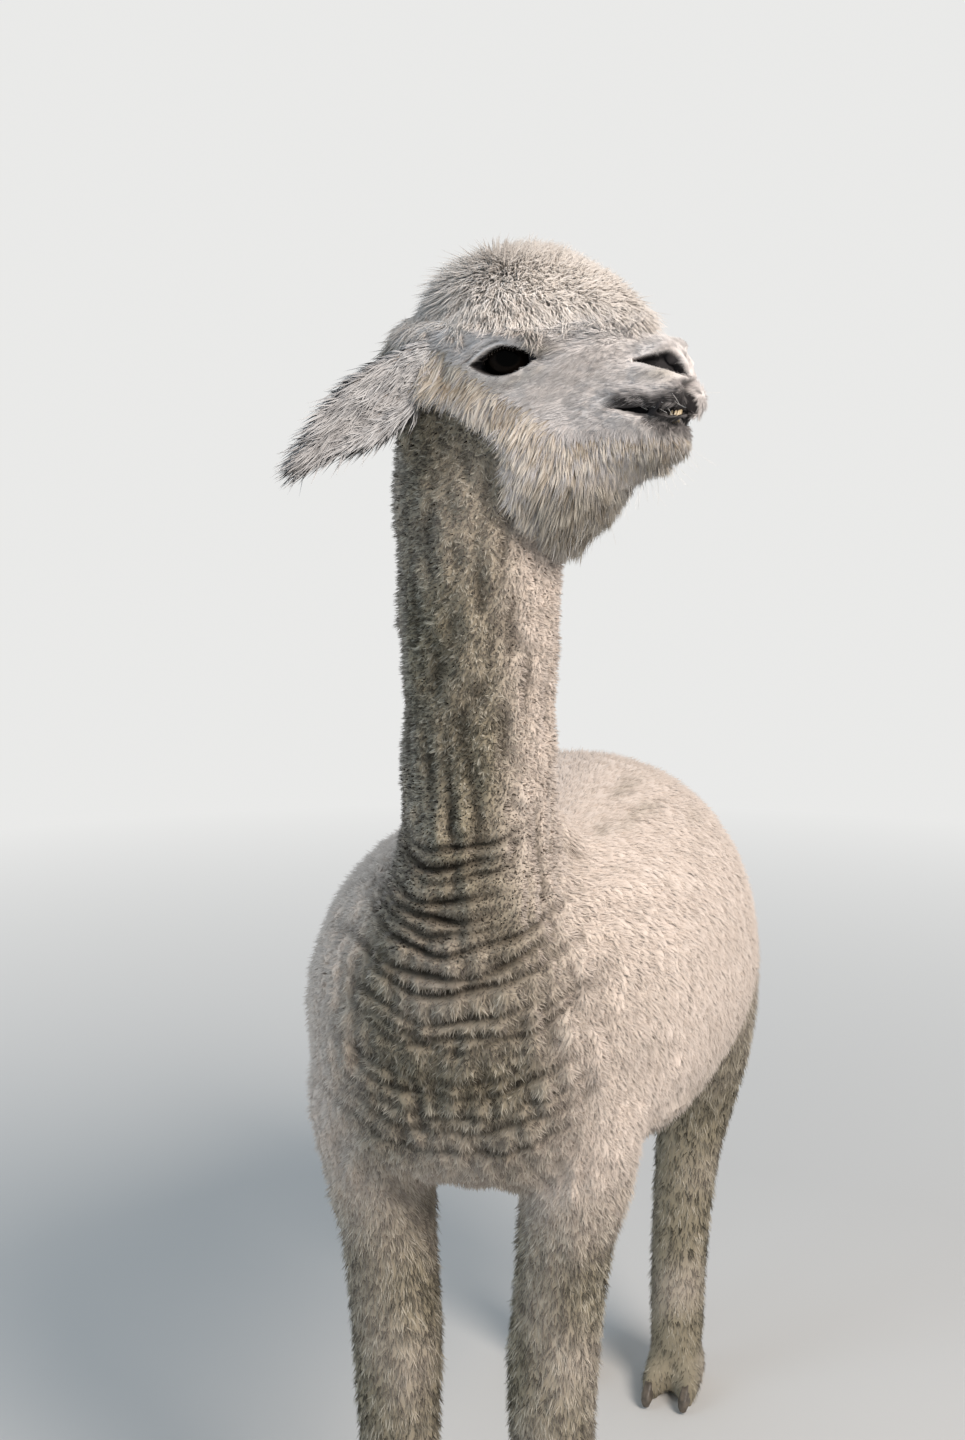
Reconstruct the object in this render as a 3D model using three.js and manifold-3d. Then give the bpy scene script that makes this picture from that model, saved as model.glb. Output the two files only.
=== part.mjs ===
// A shorn huacaya alpaca at life size. It stands square on four feet, and its head is turned to its left.
// Millimetres, +Z up. The animal faces -Y and its left side is +X. Shapes go out to the tips of the coat.
// The flesh is one joined solid, parted by thin cuts where a person would name its parts.
import * as THREE from "three";
import { mergeVertices } from "three/addons/utils/BufferGeometryUtils.js";
import Module from "manifold-3d";

const wasm = await Module();
wasm.setup();

// Driving dimensions
const GAP = 0.4; // between neighbouring pieces
const FAR = 3000; // larger than the animal, for the cutting blocks
const BACK = 868; // top of the back
const BELLY = 476; // underside of the barrel
const BARREL = 200; // half the width of the barrel
const NECK = { x: 18, wide: 66, front: -432, back: -286 }; // middle of the neck
const POLL = 1170; // height where the neck meets the head
const EYE_LINE = new THREE.Vector3(67, -368, 1290); // the head's own origin, midway between the eyes
const HEAD_TURN = THREE.MathUtils.degToRad(81);
const FORE = { x: 75, y: -310, knee: 345 };
const HIND = { x: 75, y: 352, hock: 350 };
const ARMPIT = 500; // where the forelegs leave the chest
const GROIN = 482; // where the hind legs leave the hindquarters
const ANKLE = 92;
const EYE = { radius: 20.5, side: 46, back: 1 };
const LOOKS = {
  fleece: { color: 0xddd2c4, roughness: 0.95 },
  face: { color: 0xe2d9cf, roughness: 0.9 },
  eye: { color: 0x120e0c, roughness: 0.1 },
  nail: { color: 0x4a423b, roughness: 0.5 },
};

// ---- shaping tools ----

// Blends a row of stations, each an object of named sizes, with a Catmull-Rom spline on every size.
function blend(stations) {
  const last = stations.length - 1;
  const station = (i) => stations[Math.min(Math.max(i, 0), last)];
  return (share) => {
    const i = Math.min(Math.floor(share * last), last - 1);
    const t = share * last - i;
    const sizes = {};
    for (const key of Object.keys(stations[0])) {
      const [a, b, c, d] = [i - 1, i, i + 1, i + 2].map((n) => station(n)[key]);
      sizes[key] = b + 0.5 * t * (c - a + t * (2 * a - 5 * b + 4 * c - d + t * (3 * (b - c) + d - a)));
    }
    return sizes;
  };
}

// A rounded-square ring: how far it reaches across and over at an angle, from -1 to 1.
function ring(angle, squareness) {
  const power = 2 / squareness;
  const reach = (v) => Math.sign(v) * Math.abs(v) ** power;
  return [reach(Math.cos(angle)), reach(Math.sin(angle))];
}

// Turns a geometry into a solid, facing outwards.
function solid(geometry) {
  for (const name of ["normal", "uv"]) geometry.deleteAttribute(name);
  const merged = mergeVertices(geometry, 1e-3);
  const triVerts = new Uint32Array(merged.index.array);
  const vertProperties = new Float32Array(merged.attributes.position.array);
  const made = new wasm.Manifold(new wasm.Mesh({ numProp: 3, vertProperties, triVerts }));
  if (made.volume() > 0) return made;
  return new wasm.Manifold(new wasm.Mesh({ numProp: 3, vertProperties, triVerts: triVerts.reverse() }));
}

// A closed loft: `place` gives the point at a share of the length and an angle round it.
// Both ends are closed with a fan round the middle of the last ring.
function loft(rows, sides, place) {
  const points = [];
  const middles = [new THREE.Vector3(), new THREE.Vector3()];
  for (let i = 0; i <= rows; i++)
    for (let j = 0; j < sides; j++) {
      const point = place(i / rows, (j / sides) * 2 * Math.PI);
      if (i === 0) middles[0].addScaledVector(point, 1 / sides);
      if (i === rows) middles[1].addScaledVector(point, 1 / sides);
      points.push(point);
    }
  const index = [];
  const at = (i, j) => i * sides + (j % sides);
  const [first, last] = [points.length, points.length + 1];
  for (let j = 0; j < sides; j++) {
    index.push(first, at(0, j), at(0, j + 1), last, at(rows, j + 1), at(rows, j));
    for (let i = 0; i < rows; i++) {
      index.push(at(i, j), at(i + 1, j), at(i + 1, j + 1));
      index.push(at(i, j), at(i + 1, j + 1), at(i, j + 1));
    }
  }
  const geometry = new THREE.BufferGeometry().setFromPoints([...points, ...middles]);
  return solid(geometry.setIndex(index));
}

// A body that runs along Y: each ring stands upright, from `bottom` to `top`, and is broadest at `middle`.
// A ring with a `square` of its own is squarer or rounder than the rest.
function barrel(stations, rows, sides, squareness) {
  const at = blend(stations);
  return loft(rows, sides, (share, angle) => {
    const s = at(share);
    const [across, over] = ring(angle, s.square ?? squareness);
    const height = over > 0 ? s.top - s.middle : s.middle - s.bottom;
    return new THREE.Vector3((s.x ?? 0) + across * s.wide, s.y, s.middle + over * height);
  });
}

// A limb that runs along Z: each ring lies level, from `front` to `back`, and is centred on `x`.
function column(stations, rows, sides, squareness) {
  const at = blend(stations);
  return loft(rows, sides, (share, angle) => {
    const s = at(share);
    const [across, over] = ring(angle, squareness);
    const middle = (s.front + s.back) / 2;
    return new THREE.Vector3(s.x + across * s.wide, middle + (over * (s.back - s.front)) / 2, s.z);
  });
}

// An egg: a sphere with three half-lengths, at a place, with a lean along Y for every millimetre of height.
function egg(place, [x, y, z], { columns = 9, rows = 6, lean = 0 } = {}) {
  const shear = new THREE.Matrix4().set(1, 0, 0, 0, 0, 1, lean, 0, 0, 0, 1, 0, 0, 0, 0, 1);
  const geometry = new THREE.SphereGeometry(1, columns, rows).scale(x, y, z);
  return solid(geometry.applyMatrix4(shear).translate(...place));
}

// The same solid on the other side of the animal.
function mirrored(made) {
  return made.mirror([1, 0, 0]);
}

// Moves a solid made in the head's own frame, which faces -Y, to its place on the neck.
function onHead(made) {
  const degrees = THREE.MathUtils.radToDeg(HEAD_TURN);
  return made.rotate([0, 0, degrees]).translate(EYE_LINE.toArray());
}

// A block that fills one side of a plane, held back from it by half a gap.
function side(point, normal, gap = GAP) {
  const direction = new THREE.Vector3(...normal).normalize();
  const turn = new THREE.Quaternion().setFromUnitVectors(new THREE.Vector3(0, 0, 1), direction);
  const block = new THREE.BoxGeometry(FAR, FAR, FAR).translate(0, 0, FAR / 2 + gap / 2);
  block.applyQuaternion(turn).translate(...point);
  return solid(block);
}

// The part of a solid that lies in every one of the blocks.
function within(made, ...blocks) {
  return blocks.reduce((rest, block) => rest.intersect(block), made);
}

// ---- trunk and tail ----

function trunk() {
  return barrel(
    [
      { y: -430, wide: 26, top: 726, bottom: 664, middle: 694, square: 2.1 },
      { y: -422, wide: 79, top: 782, bottom: 622, middle: 698, square: 2.2 },
      { y: -394, wide: 122, top: 838, bottom: 578, middle: 696, square: 2.3 },
      { y: -340, wide: 152, top: 860, bottom: 551, middle: 692, square: 2.4 },
      { y: -260, wide: 175, top: BACK - 2, bottom: 534, middle: 680, square: 2.5 },
      { y: -190, wide: 186, top: BACK, bottom: 521, middle: 668, square: 2.45 },
      { y: -110, wide: 193, top: BACK, bottom: BELLY + 16, middle: 658, square: 2.35 },
      { y: 0, wide: 198, top: BACK + 2, bottom: BELLY, middle: 646, square: 2.25 },
      { y: 100, wide: BARREL, top: BACK, bottom: BELLY + 2, middle: 638, square: 2.15 },
      { y: 200, wide: 184, top: BACK - 26, bottom: 502, middle: 628, square: 2.05 },
      { y: 300, wide: 158, top: BACK - 59, bottom: 546, middle: 624, square: 2 },
      { y: 390, wide: 131, top: BACK - 88, bottom: 584, middle: 634, square: 2 },
      { y: 440, wide: 104, top: BACK - 116, bottom: 602, middle: 646, square: 2 },
      { y: 470, wide: 64, top: BACK - 150, bottom: 624, middle: 660, square: 2 },
      { y: 481, wide: 20, top: BACK - 182, bottom: 656, middle: 671, square: 2 },
    ],
    18,
    22,
  );
}

function tail() {
  return column(
    [
      { z: 772, x: 0, wide: 24, front: 400, back: 444 },
      { z: 744, x: 0, wide: 33, front: 425, back: 484 },
      { z: 696, x: 0, wide: 36, front: 455, back: 514 },
      { z: 630, x: 0, wide: 34, front: 468, back: 520 },
      { z: 574, x: 0, wide: 26, front: 472, back: 512 },
      { z: 550, x: 0, wide: 8, front: 484, back: 500 },
    ],
    7,
    8,
    2,
  );
}

// ---- neck ----

function neck() {
  const { x, wide, front, back } = NECK;
  return column(
    [
      { z: 620, x: 0, wide: 100, front: -420, back: -200 },
      { z: 690, x: 2, wide: 122, front: -438, back: -206 },
      { z: 750, x: 4, wide: 115, front: -448, back: -218 },
      { z: 805, x: 9, wide: 92, front: front - 16, back: -238 },
      { z: 850, x: 14, wide: 78, front: front - 10, back: -256 },
      { z: 900, x: x - 1, wide, front: front - 4, back: back + 14 },
      { z: 960, x, wide, front, back: back + 4 },
      { z: 1030, x, wide, front, back },
      { z: 1100, x: x + 1, wide: wide + 4, front, back },
      { z: POLL, x: x + 1, wide: wide + 8, front, back: back - 2 },
      { z: 1230, x: x + 3, wide: wide + 7, front: front + 6, back: back - 8 },
      { z: 1272, x: x + 4, wide: wide - 17, front: front + 22, back: back - 24 },
    ],
    12,
    18,
    2.1,
  );
}

// The withers: the shoulders' muscle slopes up from the back into the root of the neck.
function withers() {
  return egg([2, -255, 850], [90, 55, 75], { columns: 16, rows: 10, lean: -0.35 });
}

// ---- head, in its own frame: it faces -Y, and the eyes are level with the origin ----

function skullAndJaw() {
  return barrel(
    [
      { y: -146, wide: 9, top: -22, bottom: -42, middle: -32 },
      { y: -142, wide: 18, top: -8, bottom: -58, middle: -32 },
      { y: -131, wide: 27, top: 8, bottom: -76, middle: -34 },
      { y: -114, wide: 34, top: 15, bottom: -90, middle: -36 },
      { y: -88, wide: 41, top: 18, bottom: -103, middle: -38 },
      { y: -60, wide: 49, top: 22, bottom: -131, middle: -42 },
      { y: -28, wide: 60, top: 34, bottom: -151, middle: -44 },
      { y: 4, wide: 67, top: 46, bottom: -150, middle: -40 },
      { y: 40, wide: 71, top: 50, bottom: -140, middle: -36 },
      { y: 80, wide: 69, top: 48, bottom: -116, middle: -30 },
      { y: 108, wide: 54, top: 34, bottom: -80, middle: -22 },
      { y: 121, wide: 24, top: 10, bottom: -44, middle: -16 },
    ],
    15,
    18,
    2.2,
  );
}

// The soft parts that stand out from the muzzle, each an egg: the two lobes of the split upper lip,
// the wings of the nostrils, the lower lip and the chin.
function muzzle() {
  const lip = egg([14, -123, -31], [19, 23, 20]);
  const wing = egg([16, -113, 1], [15, 22, 13]);
  return [lip, mirrored(lip), wing, mirrored(wing)]
    .concat(egg([0, -117, -58], [23, 22, 14]), egg([0, -110, -72], [25, 27, 22]))
    .reduce((all, piece) => all.add(piece));
}

// Six lower front teeth in a shallow arc. A llama or an alpaca has none above them, only a hard pad.
function teeth() {
  const row = [-2.5, -1.5, -0.5, 0.5, 1.5, 2.5].map((place) => {
    const [x, y] = [place * 3.8, -131 + place * place * 0.9];
    const sizes = [
      { z: -62, x, wide: 1.8, front: y - 2, back: y + 4 },
      { z: -49, x, wide: 2.3, front: y - 3, back: y + 1 },
      { z: -41, x, wide: 2, front: y - 2.6, back: y - 0.6 },
    ];
    return column(sizes, 2, 4, 2);
  });
  return row.reduce((all, piece) => all.add(piece));
}

// The dome of fleece left on the crown, which leans forward over the brow.
function crown() {
  return egg([0, 6, 20], [78, 106, 77], { columns: 18, rows: 10, lean: -0.11 });
}

// An ear is a leaf, cupped on its outer face: it lies along +Y before it is turned.
function ear() {
  const at = blend([
    { along: 0, wide: 22, thick: 15, cup: 0 },
    { along: 22, wide: 29, thick: 14, cup: 5 },
    { along: 60, wide: 34, thick: 11, cup: 12 },
    { along: 104, wide: 31, thick: 9, cup: 12 },
    { along: 142, wide: 22, thick: 7, cup: 7 },
    { along: 170, wide: 11, thick: 5, cup: 2 },
    { along: 182, wide: 4, thick: 2.5, cup: 0 },
  ]);
  return loft(9, 8, (share, angle) => {
    const s = at(share);
    const across = Math.cos(angle);
    const over = Math.sin(angle) * s.thick + s.cup * (across * across - 0.5);
    return new THREE.Vector3(across * s.wide, s.along, over);
  });
}

// The left ear, out and back and drooping; the right one is its mirror image.
const EAR_ALONG = [0.67, 0.53, -0.52];
const EAR_FACE = [0.62, -0.62, 0.1];
const EAR_ROOT = [44, 52, 0];

function earOnHead() {
  const along = new THREE.Vector3(...EAR_ALONG).normalize();
  const face = new THREE.Vector3(...EAR_FACE);
  face.addScaledVector(along, -face.dot(along)).normalize();
  const across = new THREE.Vector3().crossVectors(along, face);
  const turn = new THREE.Matrix4().makeBasis(across, along, face).setPosition(...EAR_ROOT);
  return ear().transform(turn.toArray());
}

// ---- legs: both left ones, the right ones are mirror images ----

function foreleg() {
  const { x, y, knee } = FORE;
  return column(
    [
      { z: 690, x: x + 30, wide: 44, front: y - 50, back: y + 70 },
      { z: 620, x: x + 33, wide: 54, front: y - 68, back: y + 84 },
      { z: 560, x: x + 22, wide: 52, front: y - 67, back: y + 78 },
      { z: 500, x: x + 11, wide: 48, front: y - 59, back: y + 62 },
      { z: 430, x: x + 4, wide: 47, front: y - 49, back: y + 48 },
      { z: knee + 25, x, wide: 48, front: y - 50, back: y + 43 },
      { z: knee - 20, x, wide: 46, front: y - 50, back: y + 42 },
      { z: 260, x, wide: 42, front: y - 41, back: y + 39 },
      { z: 190, x, wide: 41, front: y - 38, back: y + 38 },
      { z: 125, x, wide: 41, front: y - 42, back: y + 38 },
      { z: 75, x, wide: 36, front: y - 48, back: y + 32 },
      { z: 36, x, wide: 28, front: y - 46, back: y + 26 },
    ],
    12,
    12,
    2.1,
  );
}

function hindleg() {
  const { x, y, hock } = HIND;
  return column(
    [
      { z: 720, x: x + 4, wide: 36, front: y - 90, back: y + 30 },
      { z: 670, x: x + 8, wide: 64, front: y - 140, back: y + 80 },
      { z: 600, x: x + 19, wide: 75, front: y - 165, back: y + 92 },
      { z: 530, x: x + 23, wide: 73, front: y - 148, back: y + 86 },
      { z: 460, x: x + 24, wide: 65, front: y - 102, back: y + 76 },
      { z: 400, x: x + 17, wide: 58, front: y - 54, back: y + 74 },
      { z: hock, x: x + 10, wide: 52, front: y - 26, back: y + 76 },
      { z: 295, x: x + 4, wide: 46, front: y - 26, back: y + 60 },
      { z: 225, x, wide: 42, front: y - 33, back: y + 47 },
      { z: 150, x: x - 1, wide: 40, front: y - 42, back: y + 40 },
      { z: 75, x, wide: 36, front: y - 50, back: y + 32 },
      { z: 36, x, wide: 28, front: y - 46, back: y + 26 },
    ],
    13,
    12,
    2.1,
  );
}

// A foot has two soft toes, flat underneath, which splay a little.
const TOE = { spread: 19, wide: 16.5, splay: 4, front: -76, back: 31 };

function toe(x, y, outer) {
  const { spread, splay, wide, front, back } = TOE;
  const [root, tip] = [x + outer * spread, x + outer * (spread + splay)];
  return barrel(
    [
      { x: tip, y: y + front, wide: 8, top: 26, bottom: 0, middle: 12 },
      { x: tip, y: y + front + 8, wide: wide - 3, top: 34, bottom: -4, middle: 14 },
      { x: (root + tip) / 2, y: y + front + 32, wide, top: 46, bottom: -6, middle: 16 },
      { x: root, y: y - 20, wide: wide + 1, top: 60, bottom: -6, middle: 18 },
      { x: root, y: y + back - 12, wide, top: 52, bottom: -5, middle: 18 },
      { x: root, y: y + back, wide: 8, top: 34, bottom: 4, middle: 18 },
    ],
    4,
    8,
    2.3,
  );
}

// A nail is a blunt curved claw on the front of each toe.
function nail(x, y, outer) {
  const middle = x + outer * (TOE.spread + TOE.splay);
  return barrel(
    [
      { x: middle, y: y + TOE.front - 15, wide: 3, top: 12, bottom: 4, middle: 8 },
      { x: middle, y: y + TOE.front - 12, wide: 6, top: 19, bottom: 2, middle: 10 },
      { x: middle, y: y + TOE.front, wide: 8, top: 30, bottom: 3, middle: 14 },
      { x: middle, y: y + TOE.front + 16, wide: 7, top: 36, bottom: 8, middle: 20 },
    ],
    3,
    6,
    2.3,
  );
}

// ---- joining the flesh ----

const floor = side([0, 0, 0], [0, 0, 1], 0);
const toes = [FORE, HIND].flatMap(({ x, y }) => [-1, 1].map((outer) => toe(x, y, outer)));
const leftLegs = [foreleg(), hindleg(), ...toes].reduce((all, piece) => all.add(piece));
const torso = trunk().add(leftLegs).add(mirrored(leftLegs)).add(neck()).add(withers());
const headAndCrown = onHead(skullAndJaw().add(muzzle()).add(crown()));
const flesh = torso.add(headAndCrown).intersect(floor);

// ---- parting it ----

const above = (z) => side([0, 0, z], [0, 0, 1]);
const below = (z) => side([0, 0, z], [0, 0, -1]);
const behind = (y) => side([0, y, 0], [0, 1, 0]);
const before = (y) => side([0, y, 0], [0, -1, 0]);

// A side of a slanting plane on the head. The point and the direction are given forwards and upwards.
function sideOnHead([pointForward, pointUp], [forward, up], gap = GAP) {
  const turn = new THREE.Matrix4().makeRotationZ(HEAD_TURN).setPosition(EYE_LINE);
  const point = new THREE.Vector3(0, -pointForward, pointUp).applyMatrix4(turn);
  const direction = new THREE.Vector3(0, -forward, up).transformDirection(turn);
  return side(point.toArray(), direction.toArray(), gap);
}

// The longer coat of the head ends along a line clipped from behind the ears to the throat.
const CLIP = { at: [-54, -36], slope: [0.78, 0.62] };
const wholeHead = within(flesh, sideOnHead(CLIP.at, CLIP.slope), above(BACK));
const otherSide = (direction) => direction.map((v) => -v);
const NECK_FOOT = { at: [0, -250, 905], slope: [0, -0.57, 1] };
const MID_NECK = 1010;
const neckAlone = within(
  flesh,
  sideOnHead(CLIP.at, otherSide(CLIP.slope)),
  side(NECK_FOOT.at, NECK_FOOT.slope),
  above(700),
);

// The eyes sit in almond-shaped sockets.
function socket(left) {
  return onHead(egg([left * 60, -4, 0], [26, 27, 14], { columns: 12, rows: 6 }));
}

function eyeball(left, radius) {
  return onHead(egg([left * EYE.side, EYE.back, 0], [radius, radius, radius], { columns: 12, rows: 8 }));
}

const socketed = [1, -1].reduce(
  (rest, left) => rest.subtract(socket(left)).subtract(eyeball(left, EYE.radius + GAP)),
  wholeHead,
);

// The topknot starts at the hairline. The lower jaw starts at the corner of the mouth.
const HAIRLINE = { at: [0, 27], slope: [0.08, 1] };
const MOUTH = { at: [80, -40], down: [-0.19, -1] };
const JAW_BACK = [74, -40];
const face = socketed.intersect(sideOnHead(HAIRLINE.at, otherSide(HAIRLINE.slope)));
const belowMouth = (gap) => sideOnHead(MOUTH.at, MOUTH.down, gap).intersect(sideOnHead(JAW_BACK, [1, 0], gap));
const bite = onHead(solid(new THREE.BoxGeometry(25, 24, 22).translate(0, -135, -50)));

const SHOULDER_CUT = -200;
const LOIN_CUT = 200;
const pieces = {
  head: [face.subtract(belowMouth(-GAP)).subtract(bite), "face"],
  lower_jaw: [face.intersect(belowMouth(GAP)).add(onHead(teeth())), "face"],
  topknot: [socketed.intersect(sideOnHead(HAIRLINE.at, HAIRLINE.slope)), "fleece"],
  neck_upper: [neckAlone.intersect(above(MID_NECK)), "fleece"],
  neck_lower: [neckAlone.intersect(below(MID_NECK)), "fleece"],
  chest: [
    within(flesh, side(NECK_FOOT.at, otherSide(NECK_FOOT.slope)), above(ARMPIT), before(SHOULDER_CUT)),
    "fleece",
  ],
  barrel: [within(flesh, behind(SHOULDER_CUT), before(LOIN_CUT)), "fleece"],
  hindquarters: [within(flesh, behind(LOIN_CUT), above(GROIN)), "fleece"],
};

// Something set against the flesh: it is cut by it, and drawn back from it by a gap.
function setOnFlesh(made, direction) {
  const step = new THREE.Vector3(...direction).setLength(GAP * 1.5);
  const parts = made.subtract(flesh).translate(step.toArray()).decompose();
  return parts.sort((a, b) => b.volume() - a.volume())[0];
}

pieces.tail = [setOnFlesh(tail(), [0, 1, -0.1]), "fleece"];
const headTurn = new THREE.Matrix4().makeRotationZ(HEAD_TURN);
for (const [name, left] of Object.entries({ left: 1, right: -1 })) {
  const onThisSide = (made) => (left > 0 ? made : mirrored(made));
  const half = side([0, 0, 0], [left, 0, 0]);
  const fore = within(flesh, half, before(SHOULDER_CUT), below(ARMPIT));
  const hind = within(flesh, half, behind(LOIN_CUT), below(GROIN));
  pieces[`foreleg_${name}_upper`] = [fore.intersect(above(FORE.knee)), "fleece"];
  pieces[`foreleg_${name}_lower`] = [within(fore, below(FORE.knee), above(ANKLE)), "fleece"];
  pieces[`forefoot_${name}`] = [fore.intersect(below(ANKLE)), "fleece"];
  pieces[`hindleg_${name}_thigh`] = [hind.intersect(above(HIND.hock)), "fleece"];
  pieces[`hindleg_${name}_shank`] = [within(hind, below(HIND.hock), above(ANKLE)), "fleece"];
  pieces[`hindfoot_${name}`] = [hind.intersect(below(ANKLE)), "fleece"];
  const outwards = new THREE.Vector3(left * EAR_ALONG[0], EAR_ALONG[1], EAR_ALONG[2]);
  outwards.transformDirection(headTurn);
  pieces[`ear_${name}`] = [setOnFlesh(onHead(onThisSide(earOnHead())), outwards.toArray()), "fleece"];
  pieces[`eye_${name}`] = [eyeball(left, EYE.radius), "eye"];
  for (const [foot, { x, y }] of Object.entries({ fore: FORE, hind: HIND }))
    for (const [place, outer] of Object.entries({ inner: -1, outer: 1 })) {
      const claw = setOnFlesh(onThisSide(nail(x, y, outer)), [0, -1, 0]);
      pieces[`nail_${foot}_${name}_${place}`] = [claw, "nail"];
    }
}

// ---- the model ----

// Turns a solid back into a mesh with its own material.
function mesh(name, made, looks) {
  const { vertProperties, triVerts, numProp } = made.getMesh();
  const points = new THREE.InterleavedBuffer(new Float32Array(vertProperties), numProp);
  const geometry = new THREE.BufferGeometry();
  geometry.setAttribute("position", new THREE.InterleavedBufferAttribute(points, 3, 0));
  geometry.setIndex(new THREE.BufferAttribute(new Uint32Array(triVerts), 1));
  const material = new THREE.MeshStandardMaterial({ ...looks, metalness: 0 });
  const piece = new THREE.Mesh(geometry, material);
  piece.name = name;
  return piece;
}

const alpaca = new THREE.Group();
for (const [name, [made, looks]] of Object.entries(pieces)) alpaca.add(mesh(name, made, LOOKS[looks]));

// The origin is on the floor, under the middle of the animal's box.
const box = new THREE.Box3().setFromObject(alpaca);
const middle = box.getCenter(new THREE.Vector3());
alpaca.position.set(-middle.x, -middle.y, -box.min.z);

export default alpaca;
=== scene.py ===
import bmesh
import bpy
import math
import numpy as np
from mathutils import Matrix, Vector
from mathutils.bvhtree import BVHTree
from mathutils.kdtree import KDTree


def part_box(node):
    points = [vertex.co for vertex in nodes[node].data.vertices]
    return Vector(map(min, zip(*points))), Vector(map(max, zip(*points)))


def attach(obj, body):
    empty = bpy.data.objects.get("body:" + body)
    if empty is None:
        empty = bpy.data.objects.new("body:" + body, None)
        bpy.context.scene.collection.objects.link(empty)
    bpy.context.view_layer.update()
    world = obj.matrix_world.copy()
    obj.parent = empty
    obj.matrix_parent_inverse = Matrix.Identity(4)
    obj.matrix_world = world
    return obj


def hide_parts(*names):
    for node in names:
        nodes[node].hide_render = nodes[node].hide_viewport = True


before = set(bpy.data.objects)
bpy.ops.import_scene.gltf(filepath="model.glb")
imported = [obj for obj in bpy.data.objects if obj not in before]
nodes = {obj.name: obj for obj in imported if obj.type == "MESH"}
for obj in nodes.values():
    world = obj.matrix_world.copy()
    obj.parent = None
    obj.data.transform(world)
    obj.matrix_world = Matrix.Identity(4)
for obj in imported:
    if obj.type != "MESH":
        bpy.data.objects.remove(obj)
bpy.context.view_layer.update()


# ---- The head's own frame ----
# The animal faces -Y and looks to its left. The head has axes of its own: forward along the nose, side to
# its right, and up. Its origin lies just in front of the middle between the two eyes, and places on the head
# are in millimetres.
MM = 0.001
UP = np.array([0.0, 0.0, 1.0])


def box_centre(name):
    low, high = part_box(name)
    return np.array((low + high) / 2)


right_eye, left_eye = box_centre("eye_right"), box_centre("eye_left")
side_axis = right_eye - left_eye
side_axis[2] = 0.0
side_axis /= np.linalg.norm(side_axis)
forward_axis = np.cross(UP, side_axis)
EYE_RADIUS = np.ptp(np.array(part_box("eye_right")), axis=0)[2] / 2 / MM
EYE_SIDE = np.linalg.norm((right_eye - left_eye)[:2]) / 2 / MM
EYE_FORWARD = -1.0  # how far the middle of each ball lies in front of the origin
head_origin = (right_eye + left_eye) / 2 - EYE_FORWARD * MM * forward_axis
head_axes = np.array([forward_axis, side_axis, UP])


def to_head(points):
    """Places in the row's frame, in metres, as forward, side and up on the head, in millimetres."""
    return (points - head_origin) @ head_axes.T / MM


def from_head(places):
    """Places on the head back in the row's frame."""
    return np.asarray(places, float) * MM @ head_axes + head_origin


# ---- The camera ----
# It stands level with the animal's eyes and a little to its left, and looks slightly down at the neck.
# Lengths are in metres, from the head's origin.
CAMERA_BEARING = math.radians(14.54)
CAMERA_DISTANCE = 1.6464
CAMERA_RISE = 0.030
CAMERA_AZIMUTH = math.radians(16.0)
CAMERA_PITCH = math.radians(-11.3)

camera_data = bpy.data.cameras.new("camera")
camera_data.lens = 50
camera_data.sensor_width = 36
camera = bpy.data.objects.new("camera", camera_data)
bpy.context.scene.collection.objects.link(camera)
bpy.context.scene.camera = camera
camera.location = Vector(head_origin) + Vector(
    (
        CAMERA_DISTANCE * math.sin(CAMERA_BEARING),
        -CAMERA_DISTANCE * math.cos(CAMERA_BEARING),
        CAMERA_RISE,
    )
)
camera.rotation_euler = (math.pi / 2 + CAMERA_PITCH, 0, CAMERA_AZIMUTH)


# ---- The skin ----
# One skin covers the head, neck, trunk, legs, tail and ears without a seam. It lies inside the solids by the
# depth of the coat, and carries the lids, the nostrils, the lips and the folds of the neck and chest.
VOXEL = 0.010
SWELL = 0.001  # closes the thin cuts between the solids
# The depth of the coat over each solid, in millimetres.
COAT_DEPTH = {
    "head": 4, "lower_jaw": 5, "topknot": 15, "neck_upper": 6, "neck_lower": 6, "chest": 6, "barrel": 6.5,
    "hindquarters": 6.5, "tail": 15, "ear_left": 2, "ear_right": 2, "eye_left": 4, "eye_right": 4,
}
LEG_COAT_DEPTH = {"upper": 7, "lower": 7, "thigh": 7, "shank": 7, "foot": 2.5}


def node_depth(name):
    if name in COAT_DEPTH:
        return COAT_DEPTH[name]
    return next(depth for part, depth in LEG_COAT_DEPTH.items() if part in name)


def merged_copy(name, swell):
    """A copy of a CAD node with its loose triangles joined, and swollen a little."""
    copy = bmesh.new()
    copy.from_mesh(nodes[name].data)
    bmesh.ops.remove_doubles(copy, verts=copy.verts, dist=1e-5)
    copy.normal_update()
    for vertex in copy.verts:
        vertex.co += vertex.normal * swell
    mesh = bpy.data.meshes.new(name + "_copy")
    copy.to_mesh(mesh)
    copy.free()
    return mesh


def vertex_places(mesh):
    flat = np.empty(len(mesh.vertices) * 3)
    mesh.vertices.foreach_get("co", flat)
    return flat.reshape(-1, 3)


def vertex_normals(mesh):
    flat = np.empty(len(mesh.vertices) * 3, np.float32)
    mesh.vertex_normals.foreach_get("vector", flat)
    return flat.reshape(-1, 3).astype(float)


def set_places(mesh, places):
    mesh.vertices.foreach_set("co", np.asarray(places, np.float32).ravel())
    mesh.update()


def mesh_edges(mesh):
    flat = np.empty(len(mesh.edges) * 2, np.int64)
    mesh.edges.foreach_get("vertices", flat)
    return flat.reshape(-1, 2)


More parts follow.
